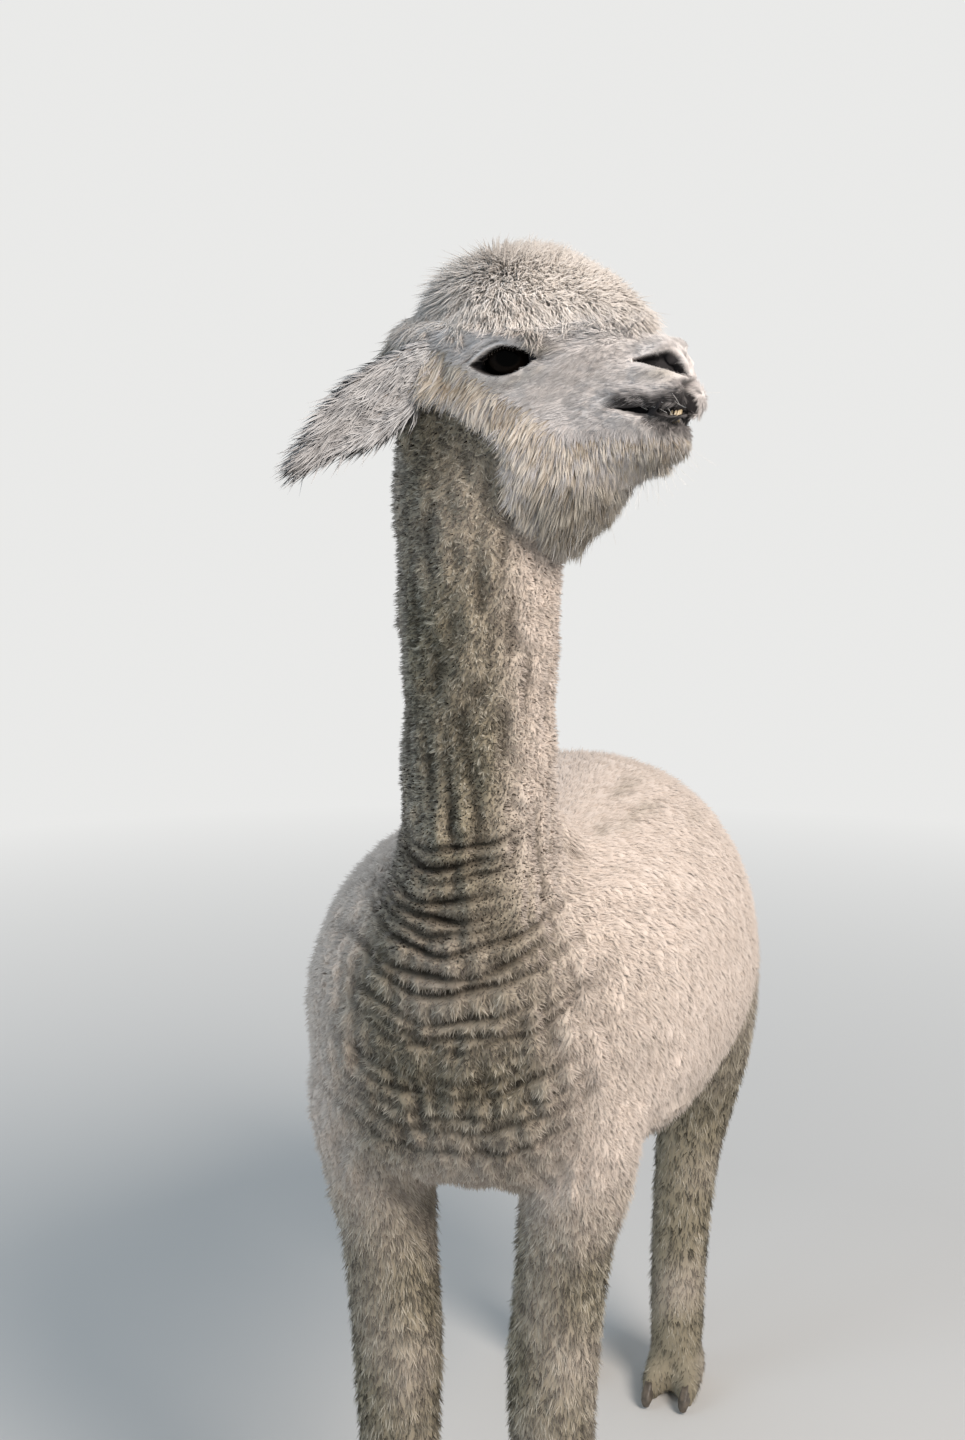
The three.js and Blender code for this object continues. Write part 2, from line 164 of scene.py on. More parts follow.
def spread(values, edges, rounds, share=0.6):
    """Evens out per-vertex values over the mesh: each round mixes in the mean of the neighbours."""
    values = np.array(values, float)
    columns = values.reshape(len(values), -1)
    ends = np.concatenate([edges[:, 0], edges[:, 1]])
    others = np.concatenate([edges[:, 1], edges[:, 0]])
    count = np.bincount(ends, minlength=len(values)).clip(1)
    share = np.asarray(share, float)
    for _ in range(rounds):
        for c in range(columns.shape[1]):
            mean = np.bincount(ends, columns[others, c], len(values)) / count
            columns[:, c] += share * (mean - columns[:, c])
    return columns.reshape(values.shape)


OUT_AGAIN = -1.02  # each pass out, as a share of the pass in


def rounded(mesh, rounds, share=0.6):
    """Takes the facets off a mesh and keeps its volume: each pass in is followed by one out."""
    places, edges = vertex_places(mesh), mesh_edges(mesh)
    for _ in range(rounds):
        places = spread(places, edges, 1, share)
        places = spread(places, edges, 1, np.asarray(share) * OUT_AGAIN)
    set_places(mesh, places)


def ramp(x, low, high):
    """0 below low, 1 above high, and smooth between."""
    t = np.clip((np.asarray(x, float) - low) / (high - low), 0, 1)
    return t * t * (3 - 2 * t)


def bell(x, width):
    """1 at 0, and falling away smoothly on both sides."""
    return np.exp(-((np.asarray(x, float) / width) ** 2))


def refined(mesh, wanted):
    """Cuts every edge between two wanted vertices in half."""
    work = bmesh.new()
    work.from_mesh(mesh)
    work.edges.ensure_lookup_table()
    chosen = [e for e in work.edges if wanted[e.verts[0].index] and wanted[e.verts[1].index]]
    bmesh.ops.subdivide_edges(work, edges=chosen, cuts=1, use_grid_fill=True)
    work.to_mesh(mesh)
    work.free()
    mesh.update()


def solid_mesh(names, swell, voxel, rounds):
    """The named solids as one closed mesh of even faces, with the facets taken off."""
    joined = bmesh.new()
    for name in names:
        copy = merged_copy(name, swell)
        joined.from_mesh(copy)
        bpy.data.meshes.remove(copy)
    mesh = bpy.data.meshes.new("joined")
    joined.to_mesh(mesh)
    joined.free()
    carrier = bpy.data.objects.new("carrier", mesh)
    bpy.context.scene.collection.objects.link(carrier)
    remesh = carrier.modifiers.new("remesh", "REMESH")
    remesh.mode = "VOXEL"
    remesh.voxel_size = voxel
    bpy.context.view_layer.update()
    evaluated = carrier.evaluated_get(bpy.context.evaluated_depsgraph_get())
    made = bpy.data.meshes.new_from_object(evaluated)
    bpy.data.objects.remove(carrier)
    rounded(made, rounds)
    return made


def finer(mesh, test):
    """Refines where the test holds, given places on the body in metres and on the head in millimetres."""
    places = vertex_places(mesh)
    refined(mesh, test(places, to_head(places)))
    rounded(mesh, 2, 0.5)


def three_quarter(head):
    """How far a place lies along a line that points forward and a little inward, the same on both sides."""
    return 0.906 * head[:, 0] - 0.423 * np.abs(head[:, 1])


# A line runs down from behind the eye to the throat, and this points straight forward across it.
JOWL_LINE = np.array([0.78, 0, 0.62])


def past_jowl_line(head):
    return head[:, 0] * JOWL_LINE[0] + head[:, 2] * JOWL_LINE[2]


def above_jowl(head, beyond):
    return past_jowl_line(head) > beyond


def head_neck_chest(body, head):
    on_head = (np.linalg.norm(head, axis=1) < 165) & above_jowl(head, -80) & (head[:, 2] < 50)
    front = (body[:, 1] < -0.30) & (body[:, 2] > 0.56) & (body[:, 2] < 1.0)
    feet = body[:, 2] < 0.085
    neck = (body[:, 2] > 0.85) & (body[:, 1] < -0.20) & ~above_jowl(head, -50)
    return on_head | front | feet | neck


def face(body, head):
    return above_jowl(head, -55) & (head[:, 2] < 34) & (head[:, 2] > -115)


def folded_chest(body, head):
    return (body[:, 1] < -0.33) & (body[:, 2] > 0.58) & (body[:, 2] < 0.93) & (np.abs(body[:, 0]) < 0.115)


def eyes_nose_mouth(body, head):
    eyes = (np.abs(head[:, 0] - 2) < 36) & (np.abs(head[:, 2]) < 21) & (np.abs(head[:, 1]) > 35)
    nose = (head[:, 0] > 92) & (head[:, 2] > -60)
    lips = (head[:, 0] > 70) & (np.abs(head[:, 2] + 43) < 12)
    return eyes | nose | lips


def slits(body, head):
    beyond = three_quarter(head)
    nostril = (np.abs(head[:, 2] + 1 + 0.25 * (beyond - 92).clip(0)) < 7) & (beyond > 76)
    mouth = (np.abs(head[:, 2] + 38.5 + 0.1 * (beyond - 58)) < 5.5) & (beyond > 56)
    from_middle = ((head[:, 0] - 2) / 30) ** 2 + (head[:, 2] / 14) ** 2
    rims = (from_middle > 0.6) & (from_middle < 1.35) & (np.abs(head[:, 1]) > 38)
    return (nostril | mouth | rims) & (np.abs(head[:, 1]) > 5)


def thinned(mesh, plain, share):
    """Takes out part of the faces where the body is plain and the coat is thick."""
    carrier = bpy.data.objects.new("carrier", mesh)
    bpy.context.scene.collection.objects.link(carrier)
    group = carrier.vertex_groups.new(name="plain")
    group.add(np.nonzero(plain)[0].tolist(), 1.0, "REPLACE")
    thinner = carrier.modifiers.new("thinner", "DECIMATE")
    thinner.ratio = share
    thinner.vertex_group = "plain"
    bpy.context.view_layer.update()
    evaluated = carrier.evaluated_get(bpy.context.evaluated_depsgraph_get())
    made = bpy.data.meshes.new_from_object(evaluated)
    bpy.data.objects.remove(carrier)
    bpy.data.meshes.remove(mesh)
    return made


skin_parts = [name for name in nodes if not name.startswith(("eye", "nail", "ear"))]
under_skin = skin_parts + ["eye_left", "eye_right"]
skin_mesh = solid_mesh(under_skin, SWELL, VOXEL, 0)
head_places = to_head(vertex_places(skin_mesh))
on_face = ramp(past_jowl_line(head_places), -75, -50) * (head_places[:, 2] > -130)
rounded(skin_mesh, 5, 0.6)
rounded(skin_mesh, 18, 0.6 * (1 - on_face))

# The withers run smoothly into the neck and the back.
chest_corner = np.array(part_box("chest")[1])
withers = np.array([0.0, chest_corner[1] - 0.02, chest_corner[2] - 0.01])
places = vertex_places(skin_mesh)
smoothed = spread(places, mesh_edges(skin_mesh), 90)
at_withers = bell(np.linalg.norm(places - withers, axis=1), 0.10) * ramp(places[:, 1], -0.34, -0.27)
set_places(skin_mesh, places + (smoothed - places) * at_withers[:, None])

# Fewer faces do on the trunk and the legs, and more are wanted on the folds, the face and the feet.
places = vertex_places(skin_mesh)
plain_body = (places[:, 2] > 0.12) & ((places[:, 1] > -0.22) | (places[:, 2] < 0.5))
skin_mesh = thinned(skin_mesh, plain_body, 0.5)
finer(skin_mesh, head_neck_chest)
finer(skin_mesh, face)
finer(skin_mesh, folded_chest)
finer(skin_mesh, eyes_nose_mouth)
finer(skin_mesh, slits)

# The depth of the coat at each place comes from the solid that lies nearest.
source_points, source_faces, source_names = [], [], []
for name in under_skin:
    copy = merged_copy(name, SWELL)
    start = sum(map(len, source_points))
    source_points.append(vertex_places(copy))
    source_faces += [[start + i for i in polygon.vertices] for polygon in copy.polygons]
    source_names += [name] * len(copy.polygons)
    bpy.data.meshes.remove(copy)
solids_tree = BVHTree.FromPolygons(np.concatenate(source_points).tolist(), source_faces)


def nearest_solids(places):
    return [source_names[solids_tree.find_nearest(Vector(place))[2]] for place in places]


places = vertex_places(skin_mesh)
edges = mesh_edges(skin_mesh)
solid_under = nearest_solids(places)
depth = spread(np.array([node_depth(name) for name in solid_under], float), edges, 40)
head_places = to_head(places)
depth *= 1 - 0.6 * ramp(head_places[:, 0], 55, 95) * above_jowl(head_places, 0)
above_brow = ramp(head_places[:, 0], 0, 40) * bell(head_places[:, 2] - 62, 28)
depth += 9 * above_brow * (np.linalg.norm(head_places, axis=1) < 150)
normals = spread(vertex_normals(skin_mesh), edges, 6)
normals /= np.linalg.norm(normals, axis=1)[:, None]
places -= normals * depth[:, None] * MM
set_places(skin_mesh, places)
rounded(skin_mesh, 12, 0.6 * ramp(depth, 6, 16))
places = vertex_places(skin_mesh)
head_places = to_head(places)
hairline = bell(head_places[:, 2] - 34 + 0.08 * head_places[:, 0], 14) * ramp(head_places[:, 2], 20, 28)
hairline *= above_jowl(head_places, -60) * (np.linalg.norm(head_places, axis=1) < 130)
set_places(skin_mesh, spread(places, edges, 60, 0.8 * hairline))

# Folds of the face, as strokes that push the skin in or out along a path on the head. A stroke has places on
# the right side as (forward, up, side), its half-width, and how far it goes in or out.
STROKES = {
    "hollow before the eye": ([(36, 9, 52), (52, 14, 44)], 9, -4),
    "crease behind the eye": ([(-44, 5, 58), (-47, -10, 60)], 4.5, -3.5),
    "lid fold": ([(-29, 11, 58), (-18, 17, 60), (0, 20, 60), (18, 17, 56)], 2.4, -2.2),
    "brow": ([(-33, 18, 56), (-12, 25, 58), (10, 25, 56)], 5, 2.4),
    "cheek": ([(-22, -27, 60), (0, -29, 60), (22, -25, 56)], 9, 2.4),
    "below the cheek": ([(-10, -44, 60), (20, -42, 56), (48, -36, 46)], 8, -2.2),
    "whisker pad crease": ([(66, -33, 36), (76, -22, 37), (97, -15, 33)], 4, -2.2),
    "wing of the nostril": ([(104, 9, 27), (120, 12, 23), (131, 8, 18), (137, 0, 13)], 5.5, 1.5),
    "rim of the nostril": ([(102, -8, 29), (117, -8, 29), (128, -12, 25), (134, -18, 18)], 5, 1.4),
    "upper lip": ([(88, -28, 34), (104, -29, 33), (120, -32, 29), (131, -34, 23)], 6, 2.2),
    "lower lip": ([(90, -42, 32), (106, -46, 31), (118, -53, 28), (127, -59, 18)], 5, 2.0),
}
# The upper lip is two lobes with a cleft between them. The left one hangs lower.
LOBE = {
    "forward": 127, "side": 20.5, "up": -33, "reach": 11.5, "half_width": 12, "half_height": 17, "lifted": 5,
}
CLEFT_FLOOR = 122
LIP_DROOP = 13
# The nostril and the mouth are slits: their upper and lower edges, as (three-quarter, up) places.
NOSTRIL_TOP = [
    (74, 1.0), (84, 3.8), (94, 7.4), (102, 9.4), (108, 9.4), (113, 5.4), (117, -3.0), (123, -13.5),
]
NOSTRIL_BASE = [(74, -1.2), (82, -2.3), (92, -5.2), (102, -7.6), (110, -10.4), (117.5, -13.5), (123, -16.5)]
MOUTH_TOP = [
    (54, -36.2), (71, -36.4), (82, -36.2), (90, -38), (99, -38.6), (106, -37.4), (114, -35.6), (127, -35),
]
MOUTH_BASE = [
    (54, -37.8), (71, -39), (82, -41), (90, -41), (99, -41.6), (107, -41.8), (117, -42.6), (127, -43.6),
]


def path_samples(path, step):
    """Places every step along a smooth line through the path's points."""
    path = np.array(path, float)
    ends = np.vstack([2 * path[0] - path[1], path, 2 * path[-1] - path[-2]])
    rows = []
    for a, b, c, d in zip(ends, ends[1:], ends[2:], ends[3:]):
        count = max(2, int(np.linalg.norm(c - b) / step) + 1)
        t = np.linspace(0, 1, count, endpoint=False)[:, None]
        rows.append(b + 0.5 * t * (c - a + t * (2 * a - 5 * b + 4 * c - d + t * (3 * (b - c) + d - a))))
    return np.vstack(rows + [path[-1:]])


def distances(points, samples):
    """How far each point is from the nearest sample."""
    best = np.full(len(points), np.inf)
    for sample in samples:
        best = np.minimum(best, ((points - sample) ** 2).sum(1))
    return np.sqrt(best)


def snapped(samples, surface):
    """Each sample moved to the nearest of the surface's points."""
    return np.array([surface[((surface - sample) ** 2).sum(1).argmin()] for sample in samples])


def reshaped_front(mesh):
    """Shapes the front of the muzzle: two lobes of lip with a cleft between them, over a short chin."""
    edges = mesh_edges(mesh)
    places = to_head(vertex_places(mesh))
    f, s, u = places.T
    f = f - 4 * ramp(-u, 43, 52) * ramp(f, 105, 135) - 6 * ramp(u, -30, -18) * ramp(f, 100, 135)
    chin_front = 129.5 - np.where(u < -62, 0.034, 0.012) * (u + 62) ** 2 - 0.02 * s ** 2
    f = f - 0.9 * (f - chin_front).clip(0) * ramp(-u, 42, 47) * (u > -90)
    places[:, 2] = u + 13 * ramp(-u, 62, 98) * ramp(f, 60, 84)
    places[:, 0] = f
    set_places(mesh, from_head(places))
    normals = spread(vertex_normals(mesh), edges, 3)
    off_side = (np.abs(s) - LOBE["side"]) / LOBE["half_width"]
    near_side = ramp(s, -8, 8)
    lifted = LOBE["lifted"] * near_side
    off_up = (u - LOBE["up"] - lifted) / (LOBE["half_height"] - lifted)
    round_out = np.sqrt(np.clip(1 - off_side ** 2 - off_up ** 2, 0, 1))
    limit = CLEFT_FLOOR + (LOBE["forward"] - CLEFT_FLOOR + LOBE["reach"] - 3 * near_side) * round_out
    facing = ramp(normals @ forward_axis / np.linalg.norm(normals, axis=1), 0.15, 0.6)
    share = facing * ramp(u, -53, -49) * (1 - ramp(u, -20, -13)) * ramp(f, 112, 124)
    places[:, 0] = f + (limit - f) * share
    set_places(mesh, from_head(places))
    cleft_width = 5 + 6 * ramp(-u, 16, 44) + 3 * (s < 0)
    return (1 - ramp(np.abs(s), cleft_width, cleft_width + 4)) * share * ramp(-u, 15, 21)


def slit_gaps(head, top, base):
    """How far each place lies below the slit's upper edge and above its lower edge."""
    along = three_quarter(head)
    droop = LIP_DROOP * ramp(-head[:, 1], 0, 14) * ramp(along, 96, 112) * (head[:, 2] < -25)
    edge = [path_samples([(a, b, 0) for a, b in line], 1.0) for line in (top, base)]
    high, low = [np.interp(along, line[:, 0], line[:, 1]) for line in edge]
    outside = (along < top[0][0]) | (along > top[-1][0])
    high = high - droop
    low = low - droop * 0.3
    return np.where(outside, -99, high - head[:, 2]), np.where(outside, -99, head[:, 2] - low)


def pressed(mesh, push):
    """Moves the skin in along its normals."""
    normals = spread(vertex_normals(mesh), mesh_edges(mesh), 12)
    normals /= np.linalg.norm(normals, axis=1)[:, None]
    set_places(mesh, vertex_places(mesh) - normals * push[:, None] * MM)


cleft_shade = reshaped_front(skin_mesh)
places = vertex_places(skin_mesh)
edges = mesh_edges(skin_mesh)
head_places = to_head(places)
on_front = (np.abs(head_places) < [160, 90, 120]).all(1) & above_jowl(head_places, -75)
near = np.nonzero(on_front)[0]
for path, width, amount in STROKES.values():
    normals = spread(vertex_normals(skin_mesh), edges, 2)[near]
    normals /= np.linalg.norm(normals, axis=1)[:, None]
    local = to_head(vertex_places(skin_mesh)[near])
    right = path_samples([(f, s, u) for f, u, s in path], 1.5)
    both_sides = np.vstack([right, right * [1, -1, 1]])
    push = amount * bell(distances(local, snapped(both_sides, local)), width)
    moved = vertex_places(skin_mesh)
    moved[near] += normals * push[:, None] * MM
    set_places(skin_mesh, moved)

# The nose: smooth on top, with full wings over slit nostrils.
head_places = to_head(vertex_places(skin_mesh))
nose_top = ramp(head_places[:, 0], 84, 98) * ramp(head_places[:, 2], 7, 12) * above_jowl(head_places, 60)
rounded(skin_mesh, 30, 0.6 * nose_top)
nose_front = ramp(head_places[:, 0], 98, 108) * ramp(head_places[:, 2], -16, -8)
rounded(skin_mesh, 14, 0.6 * nose_front)
head_places = to_head(vertex_places(skin_mesh))
head_places[:, 0] += 2 * bell(head_places[:, 2] - 2, 9) * ramp(head_places[:, 0], 106, 122)
tip_of_nose = 3.0 * bell(head_places[:, 0] - 118, 16) * ramp(head_places[:, 2], 0, 12)
head_places[:, 2] += tip_of_nose * above_jowl(head_places, 60)
set_places(skin_mesh, from_head(head_places))
beyond = three_quarter(head_places)
outer = (np.abs(head_places[:, 1]) > 6) & (head_places[:, 0] > 70)
from_top, from_base = slit_gaps(head_places, NOSTRIL_TOP, NOSTRIL_BASE)
soft_edge = 1.5 + 3 * ramp(beyond, 84, 100)
nostril_share = ramp(from_base, 0, 0.9) * ramp(from_top / soft_edge, 0, 1) * outer * (from_top > 0)
# painted shade on the underside of the nostril's wing, above the slit
under_wing_shade = (1 - ramp(-from_top, 0.5, 5)) * (from_top <= 0) * ramp(beyond, 82, 98) * outer
under_wing_shade *= 1 - ramp(beyond, 108, 116)
wing = bell(from_top + 4.2, 4.5) * (from_top < 0) * ramp(beyond, 84, 104) * outer

# The mouth: parted lips, each rolled in a little along its edge.
mouth_top, mouth_base = slit_gaps(head_places, MOUTH_TOP, MOUTH_BASE)
mouth_share = ramp(mouth_top, 0, 1.0) * ramp(mouth_base, 0, 1.0) * (head_places[:, 0] > 60)
opening = ramp(beyond, 53, 68)
rolled = 1.8 * (1 - ramp(-mouth_top, 0, 4)) * (mouth_top <= 0)
rolled = rolled + 2.6 * (1 - ramp(-mouth_base, 0, 5)) * (mouth_base <= 0)
rolled += np.where(mouth_share > 0, 2.2, 0)
NOSTRIL_DEPTH = 12
MOUTH_DEPTH = 11
lips_in = (MOUTH_DEPTH * mouth_share + rolled) * opening
pressed(skin_mesh, NOSTRIL_DEPTH * nostril_share - 1.5 * wing + lips_in)
rounded(skin_mesh, 3, 0.6 * ramp(from_top, -8, -3) * ramp(from_base, -8, -3))

# The lids: the skin follows the ball just outside it, and opens round an almond. Their edges are places as
# (forward, up), from the corner behind to the corner in front.
UPPER_LID = [(-25.5, -5), (-18, 0.8), (-9, 6.8), (1, 10.6), (12, 10.6), (22, 7.4), (30, 2)]
LOWER_LID = [(-25.5, -5), (-18, -9.3), (-9, -12.0), (1, -12.2), (11, -9.6), (21, -3.8), (30, 2)]
LID = 2.0  # thickness of a lid
LID_BACK, LID_FRONT = UPPER_LID[0], UPPER_LID[-1]


def lid_line(points):
    return path_samples([(f, u, 0) for f, u in points], 1.0)[:, :2]


# how deep the socket lies behind the ball's surface, and behind the lids beside it
BEHIND_BALL, BESIDE_BALL = 7, 9
upper, lower = lid_line(UPPER_LID), lid_line(LOWER_LID)
places = vertex_places(skin_mesh)
lid_gap = np.full(len(places), 99.0)
head_places = to_head(places)
for sign in (1, -1):
    around = (np.abs(head_places[:, 0]) < 60) & (np.abs(head_places[:, 2]) < 45)
    chosen = np.nonzero(around & (head_places[:, 1] * sign > 25))[0]
    f, s, u = head_places[chosen, 0], head_places[chosen, 1] * sign, head_places[chosen, 2]
    over = np.interp(f, upper[:, 0], upper[:, 1], left=LID_BACK[1], right=LID_FRONT[1])
    under = np.interp(f, lower[:, 0], lower[:, 1], left=LID_BACK[1], right=LID_FRONT[1])
    gap = distances(np.stack([f, u], 1), np.vstack([upper, lower]))
    inside = (u < over) & (u > under) & (f > LID_BACK[0]) & (f < LID_FRONT[0])
    gap = np.where(inside, -gap, gap)
    lid_gap[chosen] = gap
    from_axis = np.hypot(f - EYE_FORWARD, u)
    ball = EYE_SIDE + np.sqrt(np.clip((EYE_RADIUS + LID) ** 2 - from_axis ** 2, 0, None))
    lidded = 0.5 * (ball + s + np.sqrt((ball - s) ** 2 + 36))
    lidded = s + (lidded - s) * (1 - ramp(gap, 10, 26))
    pocket = np.where(from_axis < EYE_RADIUS, ball - BEHIND_BALL, lidded - BESIDE_BALL)
    above = (u > 0.1 * f) & (f < 12)
    lid_and_fold = 0.9 * bell(gap - 1.4, 1.1) - 1.8 * bell(gap - 3.6, 0.8)
    lidded += np.where(above, lid_and_fold, 0) * (1 - ramp(f, -2, 12))
    lidded -= 2.6 * bell(f - 34, 7) * bell(u - 2, 5)
    new_s = lidded + (pocket - lidded) * ramp(-gap, -0.3, 1.0)
    head_places[chosen, 1] = new_s * sign
set_places(skin_mesh, from_head(head_places))

# The soles are flat on the floor: all that lies lower than this is let down to it.
SOLE = 0.004
places = vertex_places(skin_mesh)
places[:, 2] = np.where(places[:, 2] < SOLE, 0.0, places[:, 2])
set_places(skin_mesh, places)

# The ears: thin shells whose roots run on under the hair of the crown. An ear's axes point along it from its
# root, out of its open face, and across it.
EAR_ROOT = np.array([-52, 44, 0])
EAR_ALONG = np.array([-0.53, 0.67, -0.52])
EAR_ALONG /= np.linalg.norm(EAR_ALONG)
EAR_FACE = np.array([0.62, 0.62, 0.1])
EAR_FACE -= EAR_ALONG * (EAR_FACE @ EAR_ALONG)
EAR_FACE /= np.linalg.norm(EAR_FACE)
EAR_ACROSS = np.cross(EAR_ALONG, EAR_FACE)


def on_ear(places, sign):
    """Places as along, across and towards the open face of the ear, in millimetres."""
    local = (to_head(places) * [1, sign, 1]) - EAR_ROOT
    return local @ np.array([EAR_ALONG, EAR_ACROSS, EAR_FACE]).T


body_count = len(skin_mesh.vertices)
ear_sign = np.zeros(body_count)
for name, sign in (("ear_right", 1), ("ear_left", -1)):
    ear = solid_mesh([name], 0, 0.0034, 10)
    ear_places = vertex_places(ear) - vertex_normals(ear) * node_depth(name) * MM
    root_share = 1 - ramp(on_ear(ear_places, sign)[:, 0], 5, 40)
    along_ear, below, _ = on_ear(ear_places, sign).T
    outer_ear = along_ear / along_ear.max()
    narrowed = -0.42 * below.clip(0) * ramp(along_ear, -5, 30) - 0.35 * below * ramp(outer_ear, 0.45, 1)
    local = to_head(ear_places) - (EAR_ALONG * [1, sign, 1]) * (20 * root_share)[:, None]
    local += (EAR_ACROSS * [1, sign, 1]) * narrowed[:, None]
    drawn_in = -0.17 * along_ear.clip(0) * ramp(outer_ear, 0.2, 1)
    local += (EAR_ALONG * [1, sign, 1]) * drawn_in[:, None]
    set_places(ear, from_head(local))
    joined = bmesh.new()
    joined.from_mesh(skin_mesh)
    joined.from_mesh(ear)
    joined.to_mesh(skin_mesh)
    joined.free()
    ear_sign = np.concatenate([ear_sign, np.full(len(ear.vertices), sign)])

# The creases: the fleece of the chest is drawn into hanging folds, a finger apart. Their heights are in
# metres, and the rest of their sizes in millimetres.
CREASES = 17
CREASE_TOP, CREASE_BOTTOM = 0.892, 0.612
CREASE_DEPTH = 10
FOLD_RISE = 2.4


def lumps(points, size, seed):
    """Smooth random lumps of about this size in millimetres, mostly between -1 and 1."""
    chance = np.random.default_rng(seed)
    total = np.zeros(len(points))
    for _ in range(16):
        heading = chance.normal(0, 1, 3)
        heading /= np.linalg.norm(heading)
        wave = 2 * math.pi / (size * chance.uniform(1.3, 2.6) * MM)
        total += np.sin(points @ heading * wave + chance.uniform(0, 6.3))
    return total / 3.2


chance = np.random.default_rng(5)
places = vertex_places(skin_mesh)
across = (places[:, 0] + 0.002) / MM
front = ramp(-places[:, 1], 0.33, 0.39)
crease = np.zeros(len(places))
swell = np.zeros(len(places))
for i in range(CREASES):
    share = (i + chance.uniform(-0.45, 0.45)) / (CREASES - 1)
    height = (CREASE_TOP + (CREASE_BOTTOM - CREASE_TOP) * share ** 1.15) / MM
    reach = 66 + 62 * share + chance.uniform(-14, 14)
    middle = chance.uniform(-30, 24)
    sag = 0.0046 - 0.0020 * share
    wobble = 2.4 * np.sin(across / chance.uniform(9, 16) + chance.uniform(0, 6))
    line = height + sag * across ** 2 + wobble - places[:, 2] / MM
    strength = chance.uniform(0.45, 1.1) * (1 - ramp(np.abs(across - middle), reach * 0.6, reach))
    strength *= 1 - 0.45 * ramp(share, 0.55, 0.8)
    patchy = 0.7 + 0.3 * np.sin(across / chance.uniform(12, 22) + chance.uniform(0, 6))
    crease = np.maximum(crease, bell(line, chance.uniform(2.8, 4.4)) * strength * patchy * front)
    swell += bell(line - 7, 5) * strength * front
crease[ear_sign != 0] = 0
swell = swell.clip(0, 1) * (ear_sign == 0)
normals = vertex_normals(skin_mesh)
folds = FOLD_RISE * swell - CREASE_DEPTH * crease
woolly = 1 - ramp(to_head(places) @ JOWL_LINE, -78, -62)
woolly = woolly * (places[:, 1] < -0.15) * (places[:, 2] > 0.5)
woolly *= ear_sign == 0
groove = lumps(places * [1, 1, 0.22], 10, 4)
folds += woolly * (1.2 * lumps(places, 9, 3) + 1.9 * groove)
places += normals * folds[:, None] * MM
set_places(skin_mesh, places)

for polygon in skin_mesh.polygons:
    polygon.use_smooth = True
skin_mesh.update()

# The marks: shares from 0 to 1 at each point that colour the skin and the hair that grows on it alike.
def padded(values):
    """Adds the ears' share, with nothing on it, to values of the body's skin."""
    return np.concatenate([values, np.zeros(len(skin_mesh.vertices) - len(values))])


places = vertex_places(skin_mesh)
normals = vertex_normals(skin_mesh)
head_places = to_head(places)
f, s, u = head_places.T
on_body = ear_sign == 0
marks = {}
# how far a place lies in front of the clipped edge of the head's longer coat, which bows forward over the jaw
past_clip = past_jowl_line(head_places) + 62 - 30 * bell(u + 52, 34)
beyond = three_quarter(head_places)
above_lip, below_lip = -padded(mouth_top), -padded(mouth_base)

# Dark: the bare grey skin of the lips and the rims of the lids, and painted shade in the hollows of the nose
# and mouth, in the cleft of the upper lip, under the wings of the nostrils, in the fold above each upper lid
# and in the hollow at the front corner of each eye. The upper lip's runs high at the front and thins out to
# the corner, and the lower lip has a patch in front.
lip_height = 17 + 9 * ramp(beyond, 84, 112)
white_lobe = 1 - 0.8 * ramp(-s, 6, 12) * ramp(f, 120, 130)
upper_lip = white_lobe * (1 - ramp(above_lip, lip_height * 0.4, lip_height)) * (above_lip > -1)
upper_lip = upper_lip * ramp(beyond, 50, 66)
patch_height = 3 + 16 * ramp(beyond, 80, 98)
lower_lip = (1 - ramp(below_lip, patch_height * 0.45, patch_height)) * (below_lip > -1) * ramp(beyond, 56, 80)
on_muzzle = (u > -64) & (u < -12) & (f > 60)
cleft = padded(cleft_shade)
rim = padded(lid_gap)
above_eye = u > 0.1 * f
rim_width = 0.9 - 0.5 * above_eye * (f < 6)
lid_rims_and_shade = np.where(rim < 0, 1.0, bell(rim, rim_width)) * (rim != 0)
# painted shade in the fold above the upper lid, and in the hollow at the front corner of the eye
lid_rims_and_shade = np.maximum(lid_rims_and_shade, 0.7 * bell(rim - 4.0, 0.8) * above_eye * (1 - ramp(f, -4, 10)))
lid_rims_and_shade = np.maximum(lid_rims_and_shade, 0.7 * bell(f - 33, 5) * bell(u - 2, 4) * (np.abs(s) > 30))
# painted shade inside the nostrils and the open mouth
hollow_shade = np.maximum(padded(nostril_share), padded(mouth_share * opening))
dark_parts = [0.97 * upper_lip * on_muzzle, 0.9 * lower_lip * on_muzzle, cleft ** 0.6, lid_rims_and_shade]
dark_parts += [0.45 * padded(under_wing_shade), ramp(hollow_shade, 0.02, 0.4)]
marks["dark"] = np.maximum.reduce(dark_parts).clip(0, 1) * on_body

# Dirt and painted shade: the front of the neck and chest is darker, as dirt and as painted shade; the legs,
# as dirt and as painted shadow below the chest; the chin and the throat, as stain and painted shade
# underneath; the hollow before each eye, as stain and painted shade under the fringe; and stains on the face.
# The sides of the neck and chest are lighter than the front.
neck_front = ramp(-normals[:, 1], -0.35, 0.55)
on_neck = (1 - ramp(past_clip, -10, 4)) * (1 - ramp(u, 20, 40)) * (places[:, 1] < 0)
chest_low = ramp(places[:, 2], 0.52, 0.70)
